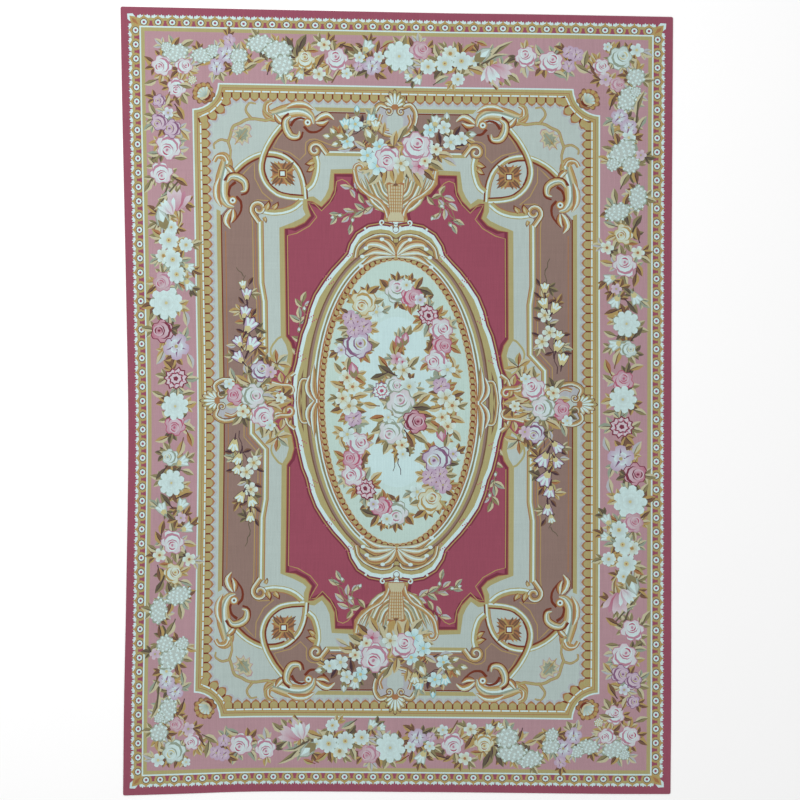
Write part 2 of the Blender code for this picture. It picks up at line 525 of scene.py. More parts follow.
def plume(art, path, width, wools, dark="brown", lean=0.0):
    """A broad acanthus blade of several streaks, which narrows to both ends."""
    count = len(path)

    def rail(share):
        points = []
        for i, (x, y) in enumerate(path):
            ax, ay = path[max(i - 1, 0)]
            bx, by = path[min(i + 1, count - 1)]
            length = math.hypot(bx - ax, by - ay) or 1.0
            half = width / 2 * math.sin(math.pi * (0.1 + 0.86 * i / (count - 1))) * share + lean * share
            points.append((x - (by - ay) / length * half, y + (bx - ax) / length * half))
        return points

    edge = 1 + 0.9 / width
    strips = [(-edge, edge, dark)]
    strips += [(-1 + 2 * j / len(wools), -1 + 2 * (j + 1) / len(wools), wool) for j, wool in enumerate(wools)]
    for low, high, wool in strips:
        right, left = rail(low), rail(high)
        for i in range(count - 1):
            art.shape([right[i], right[i + 1], left[i + 1]], wool)
            art.shape([right[i], left[i + 1], left[i]], wool)


def weave_strapwork(art):
    """The taupe panels, the crimson field and the gold and cream straps between them."""
    art.shape(whole_from_quarter(SIDE_PANEL[:1] + SIDE_PANEL[1:3] + ((-95.2, 101.1), (0, 101.1))), "taupe")
    art.shape(whole_from_quarter(((-75.4, 0), (-75.4, 101.2), (0, 101.2))), "ground")
    art.copies = QUARTERS
    art.shape(curve(SIDE_PANEL[2:-3], 3) + [SIDE_PANEL[-3]], "taupe")
    art.shape([(-75.6, 22), (-75.6, 66), (-73.8, 59), (-73.8, 24)], "taupe")
    art.shape([(-75.2, -1), (-75.2, 24), (-79.6, 18.6), (-79.6, -1)], "ground")
    art.shape([(0, 135.6), (0, 157.6)] + list(TOP_PANEL[2:3]) + curve(TOP_PANEL[3:-3], 3) + [(-36, 135.6)], "taupe")
    # Straight straps inside the frame, with the dark red shadow line and the thin gold line
    art.shape([(-STRAP_X, 0), (-STRAP_X + 2.2, 0), (-STRAP_X + 2.2, 103), (-STRAP_X, 104)], "gold")
    art.shape([(-95.7, 0), (-95, 0), (-95, 101), (-95.7, 101)], "red_brown")
    art.shape([(-93.4, 0), (-92.9, 0), (-92.9, 92), (-93.4, 92)], "orange")
    art.shape([(0, STRAP_Y), (-44, STRAP_Y), (-42, STRAP_Y - 2.2), (0, STRAP_Y - 2.2)], "gold")
    art.shape([(0, 157.9), (-40, 157.9), (-40, 157.2), (0, 157.2)], "red_brown")
    # Inner strap of the side panel
    side_strap = [(-80, -1), (-80, 18), (-72.2, 26.6), (-72.2, 54), (-73.8, 64), (-73.8, 98)]
    art.stroke(side_strap, 3.4, "gold")
    art.stroke(side_strap, 1.0, "white", shift=0.5)
    art.stroke(side_strap, 0.5, "orange", shift=3.0)
    art.stroke(side_strap, 0.5, "orange", shift=-1.4)
    top_strap = [(-38, 135.2), (-30, 135.2), (-14, 135.2)]
    art.stroke(top_strap, 2.6, "gold")
    art.stroke(top_strap, 0.8, "white", shift=0.8)
    art.stroke(top_strap, 0.5, "orange", shift=2.6)
    art.copies = SINGLE
    field = whole_from_quarter(FIELD_EDGE)
    art.shape(field, "field")
    art.stroke(field, 2.6, "field_dark", shift=-2.2, closed=True)
    art.stroke(field, 2.8, "gold", closed=True)
    art.stroke(field, 0.5, "orange", shift=-1.5, closed=True)
    art.copies = QUARTERS
    art.stroke(list(FIELD_LINE), 0.5, "old_gold")
    # The thin gold line a little inside each taupe panel
    inner = [(-84.4, 0), (-84.4, 20), (-76.6, 28.6), (-76.6, 54)]
    inner += curve(((-78.2, 64), (-78.2, 96), (-79, 102), (-77.6, 108.4), (-72.6, 109.2), (-67, 108.6)), 2) + [(-72.6, 113.2), (-76.6, 121), (-76.8, 129.4), (-80.4, 126), (-86, 120)]
    art.stroke(inner, 0.5, "old_gold")
    inner = curve(((0, 139.6), (-30, 139.6), (-36.6, 140.4), (-43.6, 143), (-48.4, 141), (-48.6, 135)), 2)
    inner += [(-52, 131.4), (-57.4, 135.4), (-66.4, 137.8), (-63.4, 143.6), (-58.4, 149.4)]
    art.stroke(inner, 0.5, "old_gold")
    weave_corner_scrolls(art)
    art.copies = SINGLE


def weave_corner_scrolls(art):
    """The interlaced straps of one corner, the cartouche between them, and the acanthus scrolls."""
    down = curve(((-60.4, 151.6), (-66.8, 143.6), (-71.6, 134.6), (-73.2, 126), (-70.6, 118.4), (-64.6, 112.8),
                  (-57.6, 110.9), (-50.2, 110.4)), 4)
    across = curve(((-89, 123.2), (-82.6, 129.4), (-75, 133.6), (-67.6, 134.8), (-60, 132.8), (-53.6, 127),
                    (-50.4, 119), (-49.6, 110)), 4)
    cartouche = curve(((-73.6, 134.2), (-66.4, 134.8), (-58.6, 132), (-52.4, 125), (-49.8, 115.6), (-50.2, 110.2),
                       (-58, 110.8), (-65.4, 113.2), (-71, 118.8), (-73.4, 126.4)), 3, closed=True)
    art.shape(cartouche, "ground")
    for path, outer in ((across, 1), (down, -1)):
        art.stroke(path[: len(path) * 3 // 5], 1.5, "red_brown", shift=-outer * 1.6)
        art.stroke(path, 3.0, "gold")
        art.stroke(path, 0.9, "white", shift=outer * 0.55)
        art.stroke(path, 0.35, "orange", shift=-outer * 1.3)
    art.stroke(down[len(down) // 2 :], 0.7, "red_brown", shift=1.7)
    art.stroke(across[len(across) // 2 + 1 :], 0.7, "red_brown", shift=1.7)
    # The square palmette of four jagged leaves in the cartouche
    art.shape(placed(((-5.6, -5.6), (5.6, -5.6), (5.6, 5.6), (-5.6, 5.6)), -61.4, 123.8, 0), "orange")
    for k in range(4):
        for lean, reach, wool in ((-40, 5.4, "brown"), (40, 5.4, "orange"), (-27, 7.4, "orange"), (27, 7.4, "brown"),
                                  (-12, 8.2, "old_gold"), (12, 8.2, "orange"), (0, 9.4, "brown")):
            blade = [(0.6, -0.7), (reach * 0.6, -1.25), (reach, 0.2), (reach * 0.6, 1.25), (0.6, 0.7)]
            art.shape(placed(blade, -61.4, 123.8, 45 + 90 * k + lean), wool)
            vein = [(1.4, -0.3), (reach * 0.84, 0), (1.4, 0.3)]
            art.shape(placed(vein, -61.4, 123.8, 45 + 90 * k + lean), "sand" if lean else "orange")
    for reach, wool in ((2.4, "old_gold"), (1.8, "red_brown"), (1.2, "white")):
        art.shape(placed(((-reach, -reach), (reach, -reach), (reach, reach), (-reach, reach)), -61.4, 123.8, 0), wool)
    # Curls that end the inner straps
    low_curve = curve(((-51.4, 108.6), (-55.4, 105.2), (-61, 103), (-67.6, 102.4), (-73, 103.4)), 4)
    art.stroke(low_curve, 3.4, "gold")
    art.stroke(low_curve, 1.1, "white", shift=0.6)
    art.stroke(low_curve, 0.5, "orange", shift=-1.9)
    curl = [(-74.6, 97)] + spiral(-74.8, 104.4, 4.2, 1.0, 225, -190, 16)
    scroll(art, curl, 2.6, 1.4)
    acanthus(art, [(-71, 104), (-67, 104.5), (-64, 104)], 4.6, 1, 2, "red_brown")
    acanthus(art, [(-72, 100), (-69, 99.5)], 2.8, -1, 1, "brown")
    high_curve = curve(((-48.2, 115.4), (-45, 118.4), (-43, 124), (-42.4, 129.6), (-43.4, 134)), 4)
    art.stroke(high_curve, 3.4, "gold")
    art.stroke(high_curve, 1.1, "white", shift=-0.6)
    art.stroke(high_curve, 0.5, "orange", shift=1.9)
    curl = [(-37, 135)] + spiral(-43.4, 137, 4.2, 1.0, 20, 440, 16)
    scroll(art, curl, 2.6, 1.4)
    acanthus(art, [(-44, 131), (-44.5, 128), (-44, 125)], 4.6, -1, 2, "red_brown")
    # The two acanthus scrolls, each of broad streaked blades round a white curl
    for flip in (False, True):
        def spot(knots, flip=flip):
            points = curve(knots, 4)
            if not flip:
                return points
            return [(-68 + (131 - y) * 0.93, 161 - (x + 97) * 1.12) for x, y in points]

        side = -1 if flip else 1
        streaks = ("old_gold", "sand", "grey_green", "white", "sand", "old_gold")[::side]
        short = ("sand", "white", "old_gold", "orange")[::side]
        art.stroke(spot(((-87, 111), (-84.4, 108), (-84.4, 103.4), (-86.6, 99.6), (-89.4, 96.6))), 1.6, "red_brown", 0.8)
        plume(art, spot(((-89.6, 104), (-91.6, 101), (-92.6, 97), (-90.4, 93.4))), 3.6, short, "red_brown")
        plume(art, spot(((-88.6, 104), (-88.4, 100), (-90, 96.6))), 2.6, short, "red_brown")
        body = spot(((-98.8, 129.8), (-97, 132.6), (-93.4, 132.6), (-92, 129), (-93.6, 123), (-94.8, 117),
                     (-94.4, 111), (-91.8, 106.6), (-88.2, 105.4)))
        acanthus(art, body[8:28], 4.6, side, 6, "orange", "white", 30)
        plume(art, body[4:], 7.2, streaks, "orange")
        scroll(art, body[:12], 1.5, 2.2, "orange")
        plume(art, spot(((-96, 121), (-97.6, 116), (-97.4, 110), (-95, 105))), 3.2, short, "orange")
        plume(art, spot(((-92.6, 128), (-89.6, 125.6), (-87.8, 122.4))), 2.8, short, "brown")
        hook = spot(((-91.8, 118.6), (-89.6, 121.6), (-85.6, 121.4), (-82.2, 118.8), (-82, 114.6), (-84.6, 113.6)))
        art.stroke(hook, 1.2, "red_brown", 1.0, shift=side * 1.8)
        plume(art, hook, 4.0, streaks, "red_brown")
        art.stroke(spot(((-87, 118.8), (-90, 116.4), (-91, 112.6), (-90, 109.6))), 1.6, "red_brown", 1.0)
        eye = spot(((-88.9, 108.8), (-88.9, 108.8)))[0]
        for reach, wool in ((2.6, "orange"), (2.1, "old_gold"), (1.6, "white"), (0.7, "brown")):
            art.shape(ring_points(*eye, reach, reach, 8), wool)
    # The thin gold vine and the leaf in the corner
    vine = curve(((-66, 154), (-70, 152.6), (-76, 153.4), (-80.4, 153), (-84, 151), (-88, 149), (-89.6, 144), (-91, 140.4)), 4)
    art.stroke(vine, 1.7, "orange")
    art.stroke(vine, 1.2, "gold")
    for path in (
        curve(((-78, 153.6), (-81, 158), (-79, 162), (-75.4, 161.6)), 4),
        curve(((-66.4, 154.4), (-71, 158), (-70, 162.6), (-66.6, 163.4)), 4),
        curve(((-91, 141), (-95, 141.8), (-98.6, 139.4), (-98.4, 136.6)), 4),
        curve(((-91, 140.6), (-89.6, 136), (-90.2, 130), (-92, 127)), 4),
    ):
        art.stroke(path, 1.6, "orange", 0.9)
        art.stroke(path, 1.0, "gold", 0.6)
    edge = [(-5.4, 0), (-3.6, 1.4), (-4.2, 3.6), (-1.6, 2.9), (-1.4, 5.6), (0.9, 3.6), (2.4, 4.8), (3.2, 2.2), (5.6, 1.9), (6.6, 0)]
    broad = edge + [(px, -py * 0.92) for px, py in reversed(edge[1:-1])]
    for wool, size in (("rose", 1.1), ("sand", 1.0), ("grey_green", 0.7)):
        art.shape(placed(broad, -83.2, 144.4, 52, size), wool)
    for lean in (-50, -20, 20, 50):
        art.shape(placed(((0, -0.25), (4.6, 0), (0, 0.25)), -84.8, 142.2, 52 + lean), "olive")
    art.stroke(placed(((-6.6, 0), (5.4, 0)), -83.2, 144.4, 52), 0.6, "old_gold", 0.3)


def weave_medallion(art):
    """The beaded medallion frame, its rope of gold beads and the ivory oval."""
    ring = whole_from_quarter(MEDALLION_EDGE)
    art.stroke(ring, 3.0, "field_dark", shift=1.9, closed=True)
    art.stroke(ring, 0.6, "old_gold", shift=2.2, closed=True)
    art.shape(ring, "taupe")
    art.stroke(ring, 2.6, "gold", shift=-2.0, closed=True)
    art.stroke(ring, 0.7, "brown", shift=-3.4, closed=True)
    art.stroke(ring, 2.0, "white", closed=True)
    for half_x, half_y, wool in MEDALLION_RINGS:
        art.shape(ring_points(0, 0, half_x, half_y, 96), wool)
    beads = evenly(ring_points(0, 0, ROPE_X, ROPE_Y, 96), ROPE_PITCH)
    for x, y, turn, pitch in beads:
        art.shape(placed(ring_points(0.2, 0, 1.75, 1.75, 8), x, y, turn), "orange")
    art.shape(ring_points(0, 0, OVAL_X - 0.6, OVAL_Y - 0.6, 96), "pale_green")
    for share, wool in ((0.78, "ivory"), (0.6, "pale_blue")):
        art.shape(ring_points(0, 0, OVAL_X * share, OVAL_Y * share, 48), wool)
    for x, y, turn, pitch in beads:
        art.shape(placed(ring_points(0, 0, 1.45, 1.05, 8, 25), x, y, turn), "old_gold", "gold", at=(x, y), reach=1.5)
        gap = [(pitch / 2 - 0.5, -1.3), (pitch / 2 + 0.5, -1.0), (pitch / 2 + 0.45, 0.9), (pitch / 2 - 0.35, 1.2)]
        art.shape(placed(gap, x, y, turn), "red_brown")
    art.copies = QUARTERS
    for x, y in BEAD_JOINTS:
        for row, (dx, dy) in enumerate(((-1.7, 2.4), (0.2, 0.4), (2.0, -1.6))):
            for across in (-1, 0, 1):
                art.shape(ring_points(x + dx * 0.9 + across * 1.15, y + dy + across * 0.7, 0.42, 0.42, 6), "magenta")
    # Acanthus fronds and C-scrolls of the crests, at the ends and at the sides
    crest = curve(((-22, 78.6), (-20.6, 84.2), (-16, 88.4), (-9.4, 91), (-3.4, 90.4), (-2.4, 86.6), (-5.4, 85.6)), 4)
    scroll(art, crest, 1.8, 1.3)
    for knots, width in (
        (((-0.4, 79.6), (-7, 80), (-13, 78.4), (-19, 74)), 3.6),
        (((-0.6, 80.6), (-6, 81.8), (-12, 82.2), (-18.4, 79.2)), 4.0),
        (((-0.6, 80.6), (-4.4, 84.2), (-9.6, 86.6), (-14.8, 86.4), (-16.4, 83.8)), 4.6),
        (((-0.4, 81), (-1.6, 84.6), (-4.2, 87.6), (-7.6, 88.8)), 3.2),
    ):
        plume(art, curve(knots, 3), width, ("old_gold", "orange", "sand", "white", "sand"), "brown")
        art.shape(ring_points(*knots[-1], 1.3, 1.0, 8), "white")
    crest = curve(((-54.6, 0), (-54, 6), (-52.4, 11.4), (-48.6, 11), (-48.2, 7)), 4)
    scroll(art, crest, 1.6, 1.2)
    for knots in (((-45.4, 0), (-48.4, 4.4), (-49, 9), (-47.6, 14)), ((-44.4, 1), (-46, 6), (-46, 12), (-45.6, 20))):
        plume(art, curve(knots, 3), 3.2, ("old_gold", "orange", "sand", "white"), "brown")
    art.copies = HALF_TURN
    # White beads and the finial on the crest
    for k in range(15):
        x = -16.8 + 2.4 * k
        art.shape(ring_points(x, 95.6 - abs(x) * 0.06 - 2.2 * math.cos(x * 0.9) ** 8 / 6, 0.75, 0.75, 6), "white")
    for y, size in ((94.2, 1.5), (96.8, 1.1), (99, 1.9)):
        art.shape(ring_points(0, y, size + 0.35, None, 8), "brown")
        art.shape(ring_points(0, y, size, None, 8), "white")
    art.copies = SINGLE

# Wools of each flower: shadow, body, light edge, heart
PETAL_WOOLS = {
    "white": ("grey_green", "ground", "white", "yellow"),
    "snow": ("grey_green", "blush", "white", "pink"),
    "cream": ("olive", "sand", "white", "old_gold"),
    "blush": ("pink", "blush", "white", "magenta"),
    "pink": ("magenta", "pink", "blush", "magenta"),
    "ghost": ("pink", "rose", "blush", "magenta"),
    "magenta": ("plum", "pink", "white", "magenta"),
    "crimson": ("field_dark", "magenta", "blush", "field_dark"),
    "yellow": ("old_gold", "yellow", "white", "orange"),
    "lilac": ("plum", "lilac", "white", "gold"),
    "plum": ("plum", "lilac", "blush", "gold"),
    "aqua": ("grey_green", "aqua", "white", "yellow"),
    "dusk": ("ink", "lilac", "white", "plum"),
    "straw": ("ink", "yellow", "white", "old_gold"),
}
# Wools of each leaf: vein, one half, the other half
LEAF_WOOLS = {
    "olive": ("dark_leaf", "olive", "sand"),
    "brown": ("ink", "brown", "old_gold"),
    "gold": ("brown", "old_gold", "sand"),
    "orange": ("red_brown", "orange", "gold"),
    "dark": ("ink", "dark_leaf", "olive"),
    "grey": ("dark_leaf", "grey_green", "sand"),
    "pale": ("olive", "sand", "mist"),
    "ink": ("ink", "ink", "brown"),
}
LEAF_MIXES = {
    "garland": ("olive", "brown", "gold", "grey", "olive", "dark", "brown", "pale"),
    "wreath": ("gold", "brown", "olive", "orange", "grey", "brown"),
    "basket": ("brown", "gold", "dark", "olive", "orange", "grey"),
    "none": (),
}
PETAL = ((0.15, -0.12), (0.55, -0.42), (0.9, -0.34), (1.0, 0.0), (0.9, 0.34), (0.55, 0.42), (0.15, 0.12))


def wavy_ring(x, y, size, lobes, depth, turn, squash=1.0, steps=3):
    """A ring whose reach dips between its lobes. The lobes differ a little in size."""
    rng = random.Random(round(x * 13 + y * 7))
    ring = []
    for lobe in range(lobes):
        reach = size * rng.uniform(0.9, 1.06)
        for k in range(steps):
            t = k / steps
            a = math.radians(360 * (lobe + t) / lobes)
            r = reach * (1 - depth * (1 - math.sin(math.pi * t)) ** 2)
            ring.append((r * math.cos(a), r * squash * math.sin(a)))
    return placed(ring, x, y, turn)


def petal_row(art, x, y, count, size, width, turn, wool, second, petal=PETAL):
    """A ring of petals that blend from one wool at the heart to another at the tips."""
    for k in range(count):
        outline = [(px * size, py * width) for px, py in petal]
        art.shape(placed(outline, x, y, turn + 360.0 * k / count), wool, second, at=(x, y), reach=size)


def crescent(x, y, size, turn, width=0.3):
    """A thin curved mark, thickest in the middle, that opens towards its turn."""
    outer = [(-math.cos(math.radians(a)), math.sin(math.radians(a))) for a in (-80, -40, 0, 40, 80)]
    inner = [(px * (1 - width) + 0.02, py * 0.9) for px, py in reversed(outer[1:-1])]
    return placed([(px * size, py * size) for px, py in outer + inner], x, y, turn)


def rose(art, x, y, size, turn, wools):
    """A cabbage rose seen a little from the side, with its cup towards the turn."""
    shadow, body, light, heart = wools
    art.shape(wavy_ring(x, y, size * 1.04, 6, 0.2, turn), shadow)
    art.shape(wavy_ring(x, y, size * 0.96, 6, 0.22, turn), light, body, at=placed([(-size * 0.5, 0)], x, y, turn)[0], reach=size * 1.7)
    cup = placed([(size * 0.26, 0)], x, y, turn)[0]
    for offset, reach, lean in ((-0.36, 0.62, 35), (-0.3, 0.6, -40), (-0.05, 0.66, 0)):
        spot = placed([(size * offset * 0.5, 0)], x, y, turn + lean)[0]
        art.shape(crescent(*spot, size * reach, turn + lean, 0.17), shadow)
    art.shape(ring_points(*cup, size * 0.5, size * 0.44, 9, turn), body, light, at=cup, reach=size * 0.5)
    art.shape(crescent(*cup, size * 0.5, turn, 0.2), shadow)
    art.shape(crescent(*cup, size * 0.32, turn + 30, 0.32), heart)
    art.shape(crescent(*placed([(size * 0.1, 0)], *cup, turn)[0], size * 0.3, turn + 170, 0.4), heart)
    art.shape(ring_points(*cup, size * 0.13, size * 0.1, 6, turn), shadow)


def daisy(art, x, y, size, turn, wools):
    shadow, body, light, heart = wools
    art.shape(wavy_ring(x, y, size * 0.96, 8, 0.16, turn + 22), shadow)
    petal_row(art, x, y, 8, size, size * 0.66, turn, body, light)
    art.shape(ring_points(x, y, size * 0.26, None, 7), heart)
    art.shape(ring_points(x, y, size * 0.1, None, 5), "orange")


def dahlia(art, x, y, size, turn, wools):
    shadow, body, light, heart = wools
    art.shape(wavy_ring(x, y, size, 9, 0.14, turn + 20), shadow)
    for count, reach, lean in ((9, 1.02, 0), (7, 0.74, 20), (5, 0.46, 5)):
        art.shape(ring_points(x, y, size * reach * 0.72, None, 10), shadow)
        petal_row(art, x, y, count, size * reach, size * (0.62 if count > 5 else 0.5), turn + lean, body, light)
    art.shape(ring_points(x, y, size * 0.1, None, 6), heart)


def carnation(art, x, y, size, turn, wools):
    shadow, body, light, heart = wools
    for share, wool, waves in ((1.0, shadow, 11), (0.86, light, 11), (0.6, heart, 8), (0.46, light, 8), (0.22, heart, 5)):
        art.shape(wavy_ring(x, y, size * share, waves, 0.2, turn + waves, 0.88, 2), wool)
    for k in range(9):
        art.shape(placed(((0.4, -0.05), (0.78, 0), (0.4, 0.05)), x, y, turn + 40 * k, size), body)


def iris(art, x, y, size, turn, wools):
    shadow, body, light, heart = wools
    art.shape(wavy_ring(x, y, size * 0.9, 5, 0.2, turn + 36), shadow)
    petal_row(art, x, y, 5, size, size, turn, light, body)
    for k in range(5):
        art.shape(placed(((0.2, -0.1), (0.8, 0), (0.2, 0.1)), x, y, turn + 72 * k, size), shadow)
    petal_row(art, x, y, 3, size * 0.5, size * 0.6, turn + 36, body, light)
    art.shape(ring_points(x, y, size * 0.14, None, 6), heart)


def star(art, x, y, size, turn, wools):
    shadow, body, light, heart = wools
    art.shape(ring_points(x, y, size * 0.66, None, 8), shadow)
    petal_row(art, x, y, 5, size, size * 0.85, turn, body, light)
    art.shape(ring_points(x, y, size * 0.22, None, 6), heart)


def cluster(art, x, y, size, turn, wools, stretch=1.0):
    """A head of lilac: a soft mass of many tiny florets."""
    shadow, body, light, heart = wools
    rng = random.Random(round(x * 31 + y * 17))
    ring = [(px * stretch, py) for px, py in wavy_ring(0, 0, size, 9, 0.16, 0)]
    art.shape(placed(ring, x, y, turn), shadow)
    art.shape(placed([(px * 0.86, py * 0.86) for px, py in ring], x, y, turn), body)
    for k in range(round(17 * stretch)):
        a, reach = math.radians(137.5 * k), math.sqrt((k + 0.5) / (19 * stretch))
        fx, fy = placed([(size * stretch * reach * math.cos(a), size * reach * math.sin(a))], x, y, turn)[0]
        floret = ((0.3, 0.3), (0, 1), (-0.3, 0.3), (-1, 0), (-0.3, -0.3), (0, -1), (0.3, -0.3), (1, 0))
        art.shape(placed(floret, fx, fy, rng.uniform(0, 90), size * 0.19), light)


def lilac_long(art, x, y, size, turn, wools):
    cluster(art, x, y, size, turn, wools, 1.5)


def bell(art, x, y, size, turn, wools):
    """A small bell with striped petals, a pale cup and a dark stalk."""
    shadow, body, light, heart = wools
    cup = [(-0.9, -0.25), (-0.2, -0.6), (0.7, -0.85), (0.6, -0.4), (1.0, 0), (0.6, 0.4), (0.7, 0.85), (-0.2, 0.6), (-0.9, 0.25)]
    art.shape(placed([(px * 1.15, py * 1.12) for px, py in cup], x, y, turn, size), shadow)
    art.shape(placed(cup, x, y, turn, size), body)
    for lean in (-28, 0, 28):
        base = placed([(-0.5, 0)], x, y, turn, size)[0]
        art.shape(placed(((0.1, -0.1), (1.2, -0.17), (1.35, 0), (1.2, 0.17), (0.1, 0.1)), *base, turn + lean, size), light)
    art.shape(placed(((-0.95, -0.25), (-0.35, -0.45), (-0.1, 0), (-0.35, 0.45), (-0.95, 0.25)), x, y, turn, size), "yellow")
    art.shape(placed(((-1.8, -0.09), (-0.8, -0.14), (-0.8, 0.14), (-1.8, 0.02)), x, y, turn, size), shadow)


def bud(art, x, y, size, turn, wools):
    shadow, body, light, heart = wools
    drop = [(-0.9, -0.2), (-0.3, -0.52), (0.4, -0.45), (1.0, 0), (0.4, 0.45), (-0.3, 0.52), (-0.9, 0.2)]
    art.shape(placed([(px * 1.12, py * 1.25) for px, py in drop], x, y, turn, size), shadow)
    art.shape(placed(drop, x, y, turn, size), body)
    art.shape(placed(((-0.5, 0), (0.1, -0.3), (0.85, 0), (0.1, 0.18)), x, y, turn, size), light)
    art.shape(placed(((-1.1, 0), (-0.6, -0.5), (0.1, -0.42), (-0.35, 0), (0.1, 0.42), (-0.6, 0.5)), x, y, turn, size), "olive")


def tulip(art, x, y, size, turn, wools):
    shadow, body, light, heart = wools
    base = placed([(-size * 0.9, 0)], x, y, turn)[0]
    for spread, wool, second in ((-34, body, light), (34, body, light), (-14, shadow, body), (16, shadow, light), (0, body, light)):
        petal = [(0, -0.1), (0.8, -0.3), (1.7, -0.24), (2.1, 0), (1.7, 0.24), (0.8, 0.3), (0, 0.1)]
        art.shape(placed(petal, *base, turn + spread, size), wool, second, at=base, reach=size * 1.8)


def leaf(art, x, y, size, turn, wools, slim=0.46, bend=0.12):
    """A pointed leaf about its middle: two halves in unlike wools, and a dark vein that runs on as its stalk."""
    vein, first, second = wools
    low = [(-1, 0), (-0.5, -slim * 0.75 + bend), (0.1, -slim + bend), (0.6, -slim * 0.6 + bend * 0.6), (1, 0)]
    high = [(1, 0), (0.55, slim * 0.62 + bend * 0.6), (0.0, slim + bend), (-0.55, slim * 0.72 + bend)]
    art.shape(placed(low + high[1:], x, y, turn, size / 2), first)
    art.shape(placed([(-1, 0)] + [(0.05, bend)] + high, x, y, turn, size / 2), second)
    art.shape(placed(((-1.3, -0.1), (0.05, bend - 0.05), (0.75, 0.06), (0.05, bend + 0.06), (-1.3, 0.04)), x, y, turn, size / 2), vein)


def long_leaf(art, x, y, size, turn, wools):
    leaf(art, x, y, size, turn, wools, 0.2, 0.2)


def stem(art, x, y, size, turn, wools):
    path = placed(((-0.5, 0.04), (-0.15, -0.05), (0.2, 0.05), (0.5, 0)), x, y, turn, size)
    art.stroke(path, 0.55, wools[0], 0.35)


FLOWERS = {"rose": rose, "daisy": daisy, "dahlia": dahlia, "carnation": carnation, "iris": iris, "star": star,
           "lilac": cluster, "lilac_long": lilac_long, "bell": bell, "bud": bud, "tulip": tulip}
GREENS = {"leaf": leaf, "long_leaf": long_leaf, "stem": stem}


def sprig(art, x, y, reach, turn, mix, rng):
    """A fan of three pointed leaves from one place."""
    wool = LEAF_WOOLS[rng.choice(mix)]
    for lean, share in ((-44, 0.86), (44, 0.86), (0, 1.05)):
        length = reach * share * rng.uniform(0.85, 1.1)
        side = turn + lean + rng.uniform(-9, 9)
        middle = placed([(length * 0.56, 0)], x, y, side)[0]
        leaf(art, *middle, length, side, wool, rng.uniform(0.42, 0.56), 0.1 if lean < 0 else -0.1)


def plant(art, rows, mix="garland", sprigs=4, bloom=1.16):
    """Works a table of flowers: first the greenery round each one, then the blossoms in order."""
    greens = LEAF_MIXES[mix]
    for number, (kind, x, y, size, turn, wools) in enumerate(rows):
        rng = random.Random(number * 7 + round(size * 10))
        if kind in FLOWERS and greens and size > 2.2:
            count = sprigs if size > 4 else max(1, sprigs - 2)
            for k in range(count):
                a = turn + 360 * (k + rng.uniform(-0.3, 0.3)) / count
                start = placed([(size * 0.7, 0)], x, y, a)[0]
                sprig(art, *start, 4.6 + size * 0.4, a + rng.uniform(-25, 25), greens, rng)
    for kind, x, y, size, turn, wools in rows:
        if kind in GREENS:
            GREENS[kind](art, x, y, size * bloom, turn, LEAF_WOOLS[wools])
    for kind, x, y, size, turn, wools in rows:
        if kind in FLOWERS:
            FLOWERS[kind](art, x, y, size * bloom, turn, PETAL_WOOLS[wools])
